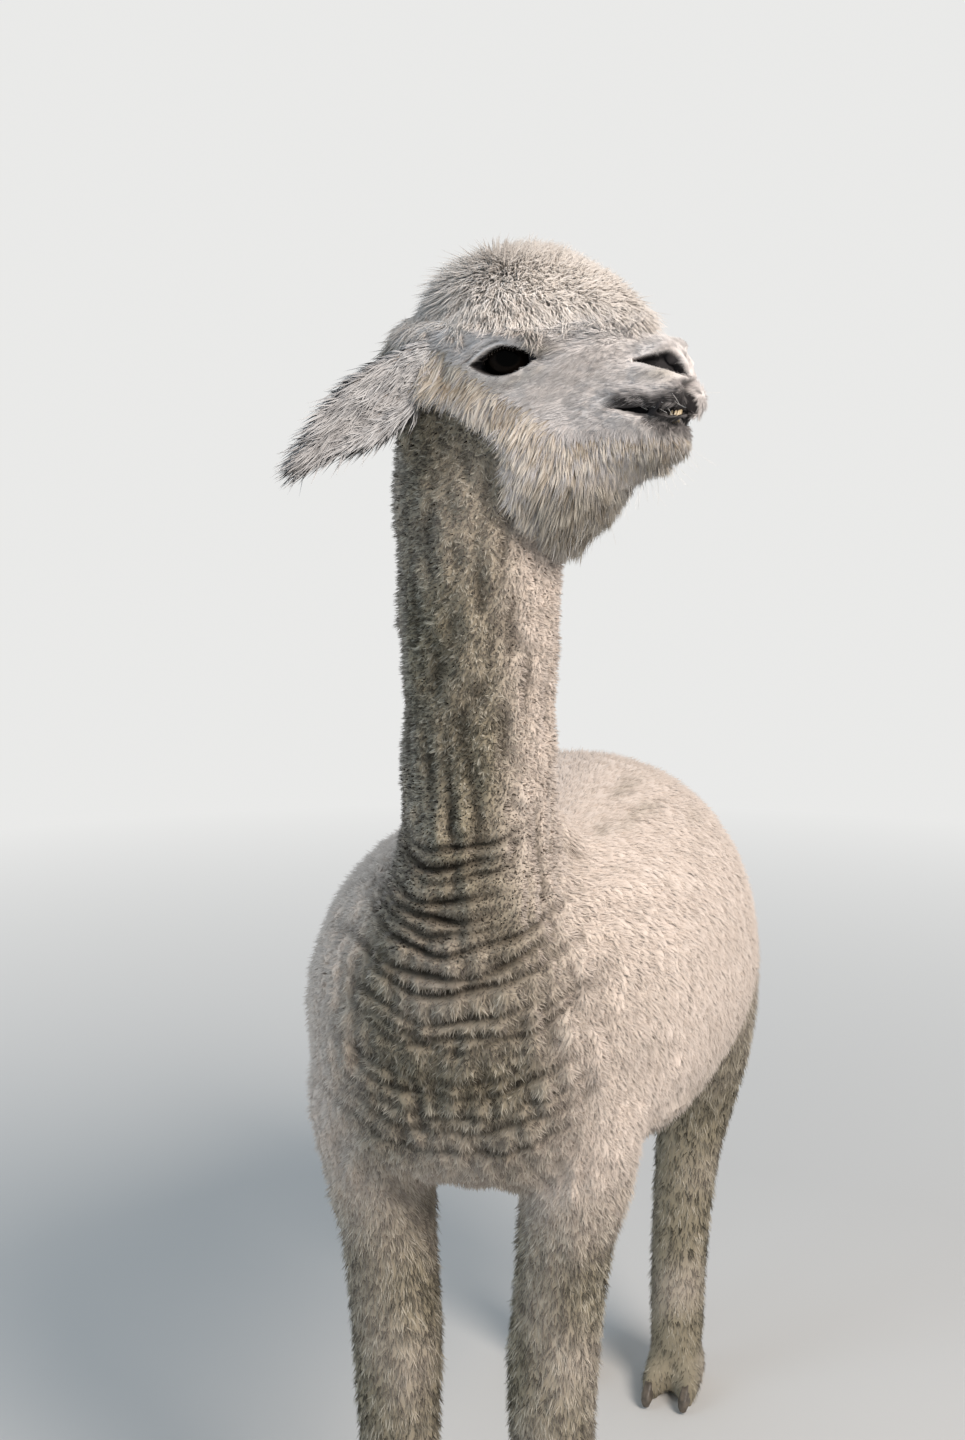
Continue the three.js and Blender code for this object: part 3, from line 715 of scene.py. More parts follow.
# the front of the neck and chest, darkened as dirt and as painted shade, lighter towards the sides
neck_dirt_and_shade = on_neck * neck_front * ramp(-places[:, 1], 0.20, 0.34) * (0.55 + 0.45 * chest_low)
neck_dirt_and_shade *= 0.9 + 0.08 * lumps(places * [1, 1, 0.5], 34, 6)
high_neck = ramp(places[:, 2], 1.16, 1.24)
dark_front_middle = 0.002 - 0.026 * (1 - chest_low)
dark_front_half = 0.050 + 0.042 * (1 - ramp(places[:, 2], 0.70, 0.95))
dark_front_middle = dark_front_middle + 0.020 * high_neck
dark_front_half = dark_front_half + 0.030 * high_neck
off_middle = np.abs(places[:, 0] - dark_front_middle) / dark_front_half
neck_dirt_and_shade *= 1 - 0.8 * ramp(off_middle, 0.65, 1.45)
# the legs are darker below the chest: dirt, and painted shadow under the chest and neck
legs = 1 - ramp(places[:, 2], 0.47, 0.64)
leg_dirt_and_shade = legs * (0.96 + 0.14 * lumps(places, 60, 7)).clip(0, 1)
# the chin and the throat below the jaw: stain, and painted shade on their undersides
chin_stain_and_shade = 0.6 * bell(u + 72, 16) * ramp(f, 70, 100) * ramp(beyond, 60, 90)
throat_stain_and_shade = 0.6 * ramp(-u, 80, 98) * ramp(f, 0, 40) * (u > -140) * above_jowl(head_places, -70)
nose_stain = 0.5 * bell(u + 10, 5) * bell(beyond - 96, 14)
under_jaw = chin_stain_and_shade + throat_stain_and_shade + nose_stain
specks = ramp(lumps(places, 7, 8), 1.0, 1.5)
specks = specks * ramp(places[:, 2], 0.78, 0.84) * ramp(places[:, 1], -0.28, -0.2)
# a brown patch in the hollow before each eye, under the crown's fringe: stain and painted shade
brow_stain_and_shade = 0.75 * bell(f - 34, 11) * bell(u - 11, 7) * (np.abs(s) > 22)
tear_stain = 0.3 * bell(rim - 7, 6) * (u < -4) * (np.abs(s) > 30)
dirt_and_shade_parts = [neck_dirt_and_shade, leg_dirt_and_shade, under_jaw, tear_stain, brow_stain_and_shade, 0.5 * specks]
marks["dirt"] = np.maximum.reduce(dirt_and_shade_parts).clip(0, 1) * on_body
groove_shade = 0.5 * ramp(-groove, 0.2, 1.3) * woolly * neck_front * ramp(places[:, 2], 0.62, 0.9)
# painted shade in the bottoms of the chest's creases and the neck's grooves
marks["crease"] = np.maximum(crease.clip(0, 1) ** 0.38, groove_shade)

# Grey: stripes on the open face of each ear, partly thin hair and partly painted shade in the ear's hollow.
marks["grey"] = np.zeros(len(places))
for sign in (1, -1):
    ear_at = on_ear(places, sign)
    stripes = 0.5 + 0.5 * np.cos(ear_at[:, 1] / 34 * 2.1 * math.pi + 0.4)
    inner = ramp(normals @ from_head(EAR_FACE * [1, sign, 1]) - normals @ head_origin, -0.1, 0.01)
    inner_stripes = 0.6 * stripes * ramp(ear_at[:, 0], 20, 60) * inner
    marks["grey"] = np.where(ear_sign == sign, inner_stripes, marks["grey"])

# Painted light: the crown lighter in its middle than at its front and back, the brow under the crown's fringe
# and the top of the nose lighter, and a painted highlight along the edge of each upper lid. Face: all the
# short hair.
crown_light_and_shade = (1 - 0.8 * ramp(f, 40, 95)) * ramp(f, -105, -30) * ramp(u, -50, 20)
lid_highlight = 0.9 * bell(rim - 2.0, 0.9) * (rim > 0) * above_eye
brow_painted_light = lid_highlight + 0.8 * bell(u - 24, 9) * ramp(f, 22, 50) + 0.5 * ramp(f, 60, 100) * ramp(u, 4, 16)
marks["pale"] = np.where((past_clip > 0) & (u < 26), brow_painted_light, crown_light_and_shade).clip(0, 1)
marks["face"] = ramp(past_clip, -8, 12) * (1 - ramp(u, 36, 50)) * on_body


def mark(mesh, name, values):
    layer = mesh.attributes.new(name, "FLOAT", "POINT")
    layer.data.foreach_set("value", np.asarray(values, np.float32))


for name, values in marks.items():
    mark(skin_mesh, name, values)

skin = bpy.data.objects.new("skin", skin_mesh)
bpy.context.scene.collection.objects.link(skin)


class Finish:
    """A material with short ways to add and join its nodes."""

    def __init__(self, name):
        self.material = bpy.data.materials.new(name)
        self.material.use_nodes = True
        self.nodes = self.material.node_tree.nodes
        self.shader = self.nodes["Principled BSDF"]

    def node(self, kind, **inputs):
        made = self.nodes.new(kind)
        for name, value in inputs.items():
            self.set(made.inputs[name.replace("_", " ")], value)
        return made

    def set(self, socket, value):
        if isinstance(value, bpy.types.NodeSocket):
            self.material.node_tree.links.new(value, socket)
        else:
            socket.default_value = value

    def attribute(self, name):
        made = self.nodes.new("ShaderNodeAttribute")
        made.attribute_name = name
        return made.outputs["Fac"]

    def mix(self, share, first, second, blend="MIX"):
        made = self.nodes.new("ShaderNodeMix")
        made.data_type = "RGBA"
        made.blend_type = blend
        for index, value in ((0, share), (6, first), (7, second)):
            self.set(made.inputs[index], value)
        return made.outputs[2]

    def sum(self, operation, first, second):
        made = self.nodes.new("ShaderNodeMath")
        made.operation = operation
        made.use_clamp = True
        self.set(made.inputs[0], first)
        self.set(made.inputs[1], second)
        return made.outputs[0]

    def noise(self, scale, detail=3):
        place = self.nodes.new("ShaderNodeTexCoord").outputs["Object"]
        made = self.node("ShaderNodeTexNoise", Vector=place, Scale=scale, Detail=detail)
        return made.outputs["Fac"]

    def ramp(self, value, stops):
        made = self.node("ShaderNodeValToRGB", Fac=value)
        elements = made.color_ramp.elements
        while len(elements) < len(stops):
            elements.new(0.5)
        for element, (position, colour) in zip(elements, stops):
            element.position = position
            element.color = colour
        return made.outputs["Color"]


CLEAN = (0.785, 0.685, 0.61, 1)
# the colour of dirt and of painted shade
DIRT_AND_SHADE = (0.26, 0.225, 0.16, 1)
# painted shade in the bottom of a crease
CREASE_SHADE = (0.034, 0.026, 0.017, 1)
# dark bare skin, and painted shade in hollows
DARK_SKIN_AND_SHADE = (0.022, 0.020, 0.021, 1)
GREY = (0.34, 0.31, 0.29, 1)
FACE = (0.735, 0.695, 0.675, 1)
WHITE = (1, 1, 1, 1)

skin_finish = Finish("skin")
patches = skin_finish.ramp(skin_finish.noise(60), [(0.3, (0.84, 0.82, 0.8, 1)), (0.7, WHITE)])
colour = skin_finish.mix(skin_finish.attribute("face"), CLEAN, FACE)
colour = skin_finish.mix(1.0, colour, patches, "MULTIPLY")
colour = skin_finish.mix(skin_finish.attribute("dirt"), colour, DIRT_AND_SHADE)
colour = skin_finish.mix(skin_finish.attribute("grey"), colour, GREY)
colour = skin_finish.mix(skin_finish.attribute("crease"), colour, CREASE_SHADE)
colour = skin_finish.mix(skin_finish.attribute("dark"), colour, DARK_SKIN_AND_SHADE)
skin_finish.set(skin_finish.shader.inputs["Base Color"], colour)
skin_finish.shader.inputs["Roughness"].default_value = 0.75
skin_finish.shader.inputs["Specular IOR Level"].default_value = 0.2
bump = skin_finish.node("ShaderNodeBump", Height=skin_finish.noise(900, 2), Strength=0.35, Distance=0.0006)
skin_finish.set(skin_finish.shader.inputs["Normal"], bump.outputs["Normal"])
skin_mesh.materials.clear()
skin_mesh.materials.append(skin_finish.material)
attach(skin, "root")
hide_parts(*skin_parts, "ear_left", "ear_right")


# ---- The eyes ----
# Each eye is a dark glossy ball set in its socket. A broad pupil fills most of the opening, and a very dark
# brown iris shows round it. The gaze points forward and out, in the head's axes.
GAZE = np.array([0.30, 0.95, 0.06])
GAZE /= np.linalg.norm(GAZE)
glass = Finish("eye")
pupil = (0.0025, 0.0022, 0.0022, 1)
iris = glass.mix(glass.noise(700, 2), (0.003, 0.002, 0.0015, 1), (0.006, 0.004, 0.003, 1))
rings = [(0.40, pupil), (0.50, WHITE), (0.72, WHITE), (0.80, pupil)]
colour = glass.ramp(glass.attribute("off_gaze"), rings)
glass.set(glass.shader.inputs["Base Color"], glass.mix(1.0, iris, colour, "MULTIPLY"))
glass.shader.inputs["Roughness"].default_value = 0.03
glass.shader.inputs["Specular IOR Level"].default_value = 0.03
for name, sign in (("eye_right", 1), ("eye_left", -1)):
    work = bmesh.new()
    bmesh.ops.create_uvsphere(work, u_segments=64, v_segments=40, radius=EYE_RADIUS * MM)
    bmesh.ops.translate(work, verts=work.verts, vec=Vector(box_centre(name)))
    ball = bpy.data.meshes.new(name + "_ball")
    work.to_mesh(ball)
    work.free()
    for polygon in ball.polygons:
        polygon.use_smooth = True
    centre = to_head(np.array([box_centre(name)]))
    aside = (to_head(vertex_places(ball)) - centre) / EYE_RADIUS * [1, sign, 1]
    # the pupil is wider than it is high
    sideways = aside @ np.cross(GAZE, UP)
    upwards = 1.35 * (aside @ UP - 0.06 * (aside @ GAZE))
    off = np.linalg.norm(np.stack([sideways, upwards], 1), axis=1)
    mark(ball, "off_gaze", np.where(aside @ GAZE > 0, off, 1))
    ball.materials.append(glass.material)
    eye = bpy.data.objects.new(name + "_ball", ball)
    bpy.context.scene.collection.objects.link(eye)
    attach(eye, "root")
    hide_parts(name)


# ---- The teeth ----
# Six lower incisors stand in the front of the mouth and show under the cleft of the upper lip. Each is a
# small rounded block of cream enamel, set in the jaw so that it leans forward.
TEETH = 6
TOOTH = {"width": 4.0, "height": 12, "thick": 2.8, "spacing": 4.1, "lean": 0.28}
TEETH_AT = {"forward": 122.3, "up": -45, "arch": 0.03}
enamel = Finish("enamel")
enamel.shader.inputs["Base Color"].default_value = (0.40, 0.32, 0.19, 1)
enamel.shader.inputs["Roughness"].default_value = 0.35
for number in range(TEETH):
    across = (number - (TEETH - 1) / 2) * TOOTH["spacing"]
    work = bmesh.new()
    bmesh.ops.create_cube(work, size=1)
    for vertex in work.verts:
        top = vertex.co.z > 0
        vertex.co.x *= TOOTH["thick"] * (0.55 if top else 1)
        vertex.co.y *= TOOTH["width"] * (1 if top else 0.8)
        vertex.co.z *= TOOTH["height"]
    bmesh.ops.bevel(work, geom=work.edges[:], offset=0.8, segments=3, affect="EDGES", clamp_overlap=True)
    tooth = bpy.data.meshes.new("tooth_%d" % (number + 1))
    work.to_mesh(tooth)
    work.free()
    block = vertex_places(tooth)
    lean = TOOTH["lean"] * (block[:, 2] + TOOTH["height"] / 2)
    forward = TEETH_AT["forward"] - TEETH_AT["arch"] * across ** 2 + block[:, 0] + lean
    local = np.stack([forward, across + block[:, 1], block[:, 2] + TEETH_AT["up"]], 1)
    set_places(tooth, from_head(local))
    tooth.flip_normals()  # the way from the head's axes turns a block inside out
    for polygon in tooth.polygons:
        polygon.use_smooth = True
    tooth.materials.append(enamel.material)
    piece = bpy.data.objects.new(tooth.name, tooth)
    bpy.context.scene.collection.objects.link(piece)
    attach(piece, "root")


# ---- The nails ----
# Each toe ends in one horn nail, curved over and worn round at the tip. It is set a little way into the toe.
def drop_crumbs(mesh):
    """Keeps only the largest part of a mesh, because a remesh leaves crumbs beside sharp corners."""
    work = bmesh.new()
    work.from_mesh(mesh)
    left, parts = set(work.verts), []
    while left:
        part = [left.pop()]
        for vertex in part:
            near = {edge.other_vert(vertex) for edge in vertex.link_edges} & left
            left -= near
            part += near
        parts.append(part)
    crumbs = [vertex for part in sorted(parts, key=len)[:-1] for vertex in part]
    bmesh.ops.delete(work, geom=crumbs, context="VERTS")
    work.to_mesh(mesh)
    work.free()


horn = Finish("horn")
grain = horn.ramp(horn.noise(160, 4), [(0.3, (0.050, 0.041, 0.032, 1)), (0.7, (0.13, 0.105, 0.08, 1))])
horn.set(horn.shader.inputs["Base Color"], grain)
horn.shader.inputs["Roughness"].default_value = 0.5
for name in [node for node in nodes if node.startswith("nail")]:
    nail_mesh = solid_mesh([name], 0.0002, 0.0018, 8)
    drop_crumbs(nail_mesh)
    for polygon in nail_mesh.polygons:
        polygon.use_smooth = True
    nail_mesh.materials.clear()
    nail_mesh.materials.append(horn.material)
    nail = bpy.data.objects.new(name + "_horn", nail_mesh)
    bpy.context.scene.collection.objects.link(nail)
    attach(nail, "root")
    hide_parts(name)


# ---- The coat ----
# A shorn coat: fine crimped wool in small locks that lie along the body, tall and loose on the crown, flat
# and short on the face. Every lock is a thin closed spike rooted in the skin. It bends over along the lie of
# the coat, and neighbours draw together at their tips.
#
# Over each solid: the length and width of a lock in mm, its lift off the skin at the root and how far it
# bends over in degrees, how much the locks stray in degrees, and how far they draw together at their tips.
LIE = {
    "head": (11, 0.9, 22, 8, 9, 0.5),
    "lower_jaw": (12, 0.95, 28, 10, 14, 0.6),
    "topknot": (24, 0.9, 46, 14, 22, 0.35),
    "neck_upper": (6.2, 1.5, 62, 10, 60, 0.8),
    "neck_lower": (6.2, 1.55, 62, 10, 60, 0.8),
    "chest": (15, 1.5, 24, 8, 14, 0.3),
    "barrel": (15, 1.5, 24, 8, 14, 0.3),
    "hindquarters": (15, 1.5, 24, 8, 14, 0.3),
    "tail": (40, 2.6, 32, 20, 18, 0.5),
    "upper": (12, 1.6, 24, 8, 18, 0.35),
    "thigh": (13, 1.6, 24, 8, 16, 0.35),
    "lower": (12, 1.6, 24, 8, 20, 0.4),
    "shank": (12, 1.6, 24, 8, 20, 0.4),
    "foot": (9, 1.2, 20, 6, 16, 0.3),
    "ear": (15, 1.2, 16, 6, 14, 0.4),
    "eye": (4, 0.6, 16, 6, 10, 0.1),
}
LIE_NAMES = ["length", "width", "lift", "bend", "stray", "gather"]


def lie_of(name):
    """The locks on a node: its name holds one of the table's, and an upper leg is not an upper neck."""
    return next(LIE[key] for key in LIE if key in name and (key != "upper" or "neck" not in name))


ear_names = ["ear_right" if sign > 0 else "ear_left" for sign in ear_sign[ear_sign != 0]]
name_of = np.array(solid_under + ear_names)
behind_clip = (past_clip < 0) & on_body & (u < 20) & np.isin(name_of, ["head", "lower_jaw"])
name_of = np.where(behind_clip, "neck_upper", name_of)
skin_edges = mesh_edges(skin_mesh)
fields = np.array([lie_of(name) for name in name_of], float)
fields = np.where(on_body[:, None], spread(fields, skin_edges, 14), fields)
fields = dict(zip(LIE_NAMES, fields.T))

# The face: the hair is finest round the nose, the lips and the eyes, and longest under the jaw and behind the
# eye.
jowl = (past_clip > 0) & on_body & (u < 60)
face_size = 0.62 + 0.38 * ramp(95 - f, -10, 60)
face_size *= 0.4 + 0.6 * ramp(np.abs(rim), 1, 9)
beard = ramp(-u, 50, 80) * ramp(f, 20, 80)
near_nostril = padded(ramp(from_top, -6, -1) * ramp(from_base, -6, -1))
face_size *= 1 - 0.65 * near_nostril
cheek_fur = ramp(-u, 52, 100) * (1 - ramp(f, 30, 70))
cheek_fur = np.maximum(cheek_fur, bell(past_clip - 10, 16) * (u < 10))
fields["length"] = np.where(jowl, fields["length"] * face_size + 9 * beard + 18 * cheek_fur, fields["length"])
fields["width"] = np.where(jowl, fields["width"] * (0.7 + 0.3 * face_size) + 0.7 * cheek_fur, fields["width"])
fields["lift"] = np.where(jowl, fields["lift"] + 6 * cheek_fur + 16 * beard, fields["lift"])
gathered = np.maximum(fields["gather"], 0.55 * np.maximum(beard, cheek_fur))
fields["gather"] = np.where(jowl, gathered, fields["gather"])
behind_eye = jowl & ~np.isin(name_of, ["lower_jaw"])
behind_eye = behind_eye * (1 - ramp(f, -52, -36)) * ramp(u, -45, -20)
fields["length"] += 12 * behind_eye
under_fringe = jowl * ramp(u, 8, 30) * ramp(f, 10, 30)
fields["length"] += 3 * under_fringe
fields["lift"] += 3 * under_fringe
fields["width"] += 0.5 * behind_eye

# On the neck and chest the wool stands in short nubs, and shorter still in the creases.
chest_front = ramp(-places[:, 1], 0.28, 0.40) * (name_of == "chest") * ramp(places[:, 2], 0.5, 0.6)
for key, change in zip(LIE_NAMES, (-3, 0.1, 10, 2, 16, 0.15)):
    fields[key] += change * spread(chest_front, skin_edges, 6)
woolly = woolly * neck_front
fields["length"] *= 1 - 0.35 * woolly * (places[:, 2] < 0.95)
fields["lift"] += 14 * woolly * (places[:, 2] < 0.95)
fields["length"] *= 1 - 0.72 * crease ** 0.7

# The crown's hair reaches out to the solid's surface. Its edge on the face is ragged, and dips in front of
# the eye.
hairline = 25 + 9 * ramp(f, 26, 50) - 9 * bell(f - 28, 10) + 3.5 * lumps(places, 9, 11)
above_face = jowl & (u > hairline) & (f > -40) & (f < 74)
crown = ((name_of == "topknot") | above_face) & (u > hairline - 6) & on_body
clear = np.array([solids_tree.find_nearest(Vector(place))[3] for place in places]) / MM
fringe = (1 - ramp(u, 30, 58)) * ramp(f, -60, -30)
# towards the nape the crown's hair shortens and lies down into the neck's
hood = ramp(u, -50, 28) * (1 - ramp(f, -74, -58)) * (np.linalg.norm(head_places, axis=1) < 170)
crown_share = np.where(crown, 1, 0.9 * hood) * on_body
for key, value in zip(LIE_NAMES, LIE["topknot"]):
    fields[key] += (value - fields[key]) * crown_share
loose_crown = (ramp(f, -20, 25) + 0.6 * (1 - ramp(f, -90, -60))) * ramp(u, 36, 60)
fields["lift"] += crown_share * (8 * ramp(u, 60, 100) - 20 * fringe + 14 * loose_crown)
fields["stray"] += crown_share * (12 * loose_crown - 6 * fringe)
rise = np.sin(np.radians((fields["lift"] - fields["bend"] / 2).clip(15, 90)))
reaching = spread((clear / rise).clip(12, 40), skin_edges, 8) * (1 + 0.10 * lumps(places, 14, 12))
reaching *= 1.0 - 0.32 * ramp(f, -50, 20)
reaching = (reaching - 9 * ramp(f, 0, 40) * bell(u - 62, 28)).clip(11, 40)
reaching *= 1 + 0.25 * fringe * lumps(places, 5, 13)
reaching = np.where(crown, reaching, 22)
fields["length"] += (reaching - fields["length"]) * crown_share
fields["lift"] -= 26 * crown_share * (1 - ramp(u, 35, 62)) * (1 - ramp(f, -40, -20))

# The ear's hair is short at the root, and hangs as long wisps from its lower edge and its tip.
EAR_LENGTH = max(on_ear(places[ear_sign > 0], 1)[:, 0])
for sign in (1, -1):
    along_ear, below, _ = on_ear(places, sign).T
    outer_end = ramp(along_ear / EAR_LENGTH, 0.45, 1)
    wisps = 24 * outer_end + 12 * ramp(np.abs(below), 6, 14) * ramp(along_ear, 20, 70)
    fields["length"] = np.where(ear_sign == sign, fields["length"] + wisps, fields["length"])


def unit(vectors):
    return vectors / np.linalg.norm(vectors, axis=1)[:, None].clip(1e-9)


def toward(direction):
    """One direction for every place."""
    return np.tile(np.asarray(direction, float), (len(places), 1))


def pick(part, first, second):
    return np.where(np.asarray(part)[:, None], first, second)


# Which way the coat lies, before it is laid on the skin.
lie = toward((0, 0.45, -1))
lie = pick((places[:, 2] < 0.5) | (name_of == "tail"), toward((0, 0.12, -1)), lie)
neck = np.char.startswith(name_of, "neck")
lie = pick(neck, toward((0, 0.1, -1)), lie)
lie = pick(jowl, toward(-forward_axis + UP * -0.35), lie)
chin = jowl & (u < -52) & (f > 40)
lie = pick(chin, toward(forward_axis * 0.15 - UP), lie)
lie = pick(jowl & (cheek_fur > 0.25), toward(-forward_axis * 0.35 - UP), lie)
crown_parting = from_head([[-44, 0, 96]])[0]
beside_crown = (crown_share > 0.02) & ~crown
falling = 0.3 + 0.9 * (1 - ramp(u, 30, 70)) * ramp(-f, 20, 60)
lie = pick(crown | beside_crown, unit(places - crown_parting) + UP * -falling[:, None], lie)
for sign in (1, -1):
    lie = pick(ear_sign == sign, toward(from_head(EAR_ALONG * [1, sign, 1]) - head_origin), lie)
lie = spread(lie / np.linalg.norm(lie, axis=1)[:, None], skin_edges, 6)

skin_mesh.calc_loop_triangles()
skin_triangles = np.empty(len(skin_mesh.loop_triangles) * 3, np.int64)
skin_mesh.loop_triangles.foreach_get("vertices", skin_triangles)
skin_triangles = skin_triangles.reshape(-1, 3)
smooth_normals = spread(vertex_normals(skin_mesh), skin_edges, 2)
smooth_normals /= np.linalg.norm(smooth_normals, axis=1)[:, None]


def unwrap(points, axis, middle):
    """Places on the skin as an angle round an axis and a length along it, both from 0 to 1."""
    axis = np.asarray(axis, float)
    across = np.cross(axis, (1, 0, 0) if abs(axis[0]) < 0.8 else (0, 1, 0))
    across /= np.linalg.norm(across)
    other = np.cross(axis, across)
    rel = points - middle
    angle = np.arctan2(rel @ other, rel @ across) / (2 * math.pi) + 0.5
    along = rel @ axis
    along = (along - along.min()) / np.ptp(along)
    return 0.003 + 0.991 * np.stack([angle, along], 1)


PATCH = 0.003  # how wide a lock's own patch is on the unwrap
ROOTED = 0.0008  # how far a lock starts under the skin
FLAT = 0.45  # how thick a lock is for its width


def grow(
    name, where, count, seed, material, axis, bent=False, clump=9, under=False, soft=0, loose=0, lofty=0
):
    """Grows locks on the skin where the weight is not 0, as one piece of thin closed spikes.

    A clump is how many locks draw together, and a loose share of the locks is longer than the rest. Soft
    locks are shaded more as the skin below them is, and lofty ones more as if they faced up.
    """
    chance = np.random.default_rng(seed)
    corners = places[skin_triangles]
    areas = np.linalg.norm(np.cross(corners[:, 1] - corners[:, 0], corners[:, 2] - corners[:, 0]), axis=1) / 2
    weight = areas * np.asarray(where, float)[skin_triangles].mean(1)
    total = np.cumsum(weight)
    chosen = np.searchsorted(total, (np.arange(count) + chance.random(count)) / count * total[-1])
    a, b = chance.random((2, count))
    fold = a + b > 1
    a, b = np.where(fold, 1 - a, a), np.where(fold, 1 - b, b)
    shares = np.stack([1 - a - b, a, b], 1)
    triangle = skin_triangles[chosen]

    def at_root(values):
        return np.einsum("ij,ij...->i...", shares, values[triangle])

    root, normal = at_root(places), unit(at_root(smooth_normals))
    flow = at_root(lie)
    flow = unit(flow - normal * (flow * normal).sum(1)[:, None])
    size = {key: at_root(values) for key, values in fields.items()}
    turn = np.radians(chance.normal(0, 1, count) * size["stray"])
    side = np.cross(normal, flow)
    flow = flow * np.cos(turn)[:, None] + side * np.sin(turn)[:, None]
    side = np.cross(normal, flow)
    length = size["length"] * chance.uniform(0.7, 1.15, count) * MM
    width = size["width"] * chance.uniform(0.7, 1.3, count) * MM
    length *= 1 + 0.35 * (chance.random(count) < loose)
    if under:  # a lower and denser layer, which fills the gaps
        length, width, size["lift"] = length * 0.62, width * 1.7, size["lift"] * 0.6
    lift = np.radians(size["lift"] + chance.normal(0, 1, count) * (5 + 0.15 * size["lift"]))
    low = lift - np.radians(size["bend"])

    def lean(angle):
        return flow * np.cos(angle)[:, None] + normal * np.sin(angle)[:, None]

    middle = root + lean(lift) * (length * 0.5)[:, None]
    tip = middle + lean(low) * (length * 0.5)[:, None]
    # neighbours draw together: each tip moves part of the way to the tip of its lock's leader
    leaders = np.arange(0, count, clump)
    leaders = chance.permutation(count)[: len(leaders)]
    finder = KDTree(len(leaders))
    for index, leader in enumerate(leaders):
        finder.insert(Vector(root[leader]), index)
    finder.balance()
    leader_of = leaders[[finder.find(Vector(point))[1] for point in root]]
    gather = size["gather"] * chance.uniform(0.6, 1.0, count)
    reach = np.linalg.norm(tip[leader_of] - tip, axis=1)
    gather = gather * (1 - ramp(reach / length, 0.6, 1.4))
    tip += (tip[leader_of] - tip) * gather[:, None]
    middle += (middle[leader_of] - middle) * (gather * 0.35)[:, None]

    stations = [(root - normal * ROOTED, middle - root, 0.9), (middle, tip - root, 1.0)]
    # a short lock that leans back past upright has its sides the other way round, so that it faces outwards
    back = ((np.cross(middle - root, side) * normal).sum(1) < 0) & (not bent)
    side = np.where(back[:, None], -side, side)
    rings, bulges = [], []
    for centre, heading, share in stations if bent else stations[:1]:
        over = unit(np.cross(unit(heading), side))
        over = np.where(((over * normal).sum(1) < 0)[:, None], -over, over)
        half = (width * share / 2)[:, None]
        rings += [centre - side * half, centre + side * half, centre + over * (half * 2 * FLAT)]
        bulges += [-side, side, over]
    points = np.stack(rings + [tip], 1)
    points[:, :, 2] = points[:, :, 2].clip(0.0003)
    facing = np.stack(bulges + [normal], 1)
    # upright locks are lit as the skin below is
    from_skin = (0.45 + soft + 0.4 * np.sin(lift) ** 2).clip(0, 0.92)[:, None, None]
    facing = normal[:, None] * from_skin + facing * (1 - from_skin) + UP * lofty
    # and it is shaded as the underside of the coat, which leaves dark specks in the wool
    facing = np.where(back[:, None, None], -facing, facing)
    # the ring runs from one side over the top to the other, so these faces look outwards
    if bent:
        patterns = [[0, 1, 4, 3], [1, 2, 5, 4], [2, 0, 3, 5], [0, 2, 1], [3, 4, 6], [4, 5, 6], [5, 3, 6]]
    else:
        patterns = [[0, 2, 1], [0, 1, 3], [1, 2, 3], [2, 0, 3]]
    per_lock = points.shape[1]
    pattern = np.concatenate(patterns)
    loops = (np.arange(count)[:, None] * per_lock + pattern).ravel()
    sizes = np.tile([len(face) for face in patterns], count)
    starts = np.concatenate([[0], np.cumsum(sizes)[:-1]])
    mesh = bpy.data.meshes.new(name)
    mesh.vertices.add(count * per_lock)
    mesh.vertices.foreach_set("co", points.astype(np.float32).ravel())
    mesh.loops.add(len(loops))
    mesh.loops.foreach_set("vertex_index", loops.astype(np.int32))
    mesh.polygons.add(len(sizes))
    mesh.polygons.foreach_set("loop_start", starts.astype(np.int32))
    mesh.polygons.foreach_set("loop_total", sizes.astype(np.int32))
    mesh.polygons.foreach_set("use_smooth", np.ones(len(sizes), bool))
    mesh.update(calc_edges=True)
    mesh.normals_split_custom_set_from_vertices(unit(facing.reshape(-1, 3)).tolist())
    for key, values in marks.items():
        mark(mesh, key, np.repeat(at_root(values), per_lock))
    height = [0, 0, 0, 0.5, 0.5, 0.5, 1] if bent else [0, 0, 0, 1]
    mark(mesh, "along", np.tile(height, count))
    own = chance.random(count)
    mark(mesh, "tone", np.repeat(0.6 * own[leader_of] + 0.4 * own, per_lock))
    patch = unwrap(root, axis, root.mean(0))
    spots = np.stack([np.tile([0, 1, 0.5], 3)[:per_lock], height], 1) * PATCH
    spots[-1, 0] = PATCH / 2
    uv = (patch[:, None] + spots - PATCH / 2).clip(0, 1).reshape(-1, 2)
    layer = mesh.uv_layers.new(name="OFBake")
    layer.data.foreach_set("uv", uv[loops].astype(np.float32).ravel())
    mesh.materials.append(material)
    piece = bpy.data.objects.new(name, mesh)
    bpy.context.scene.collection.objects.link(piece)
    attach(piece, "root")
    return piece


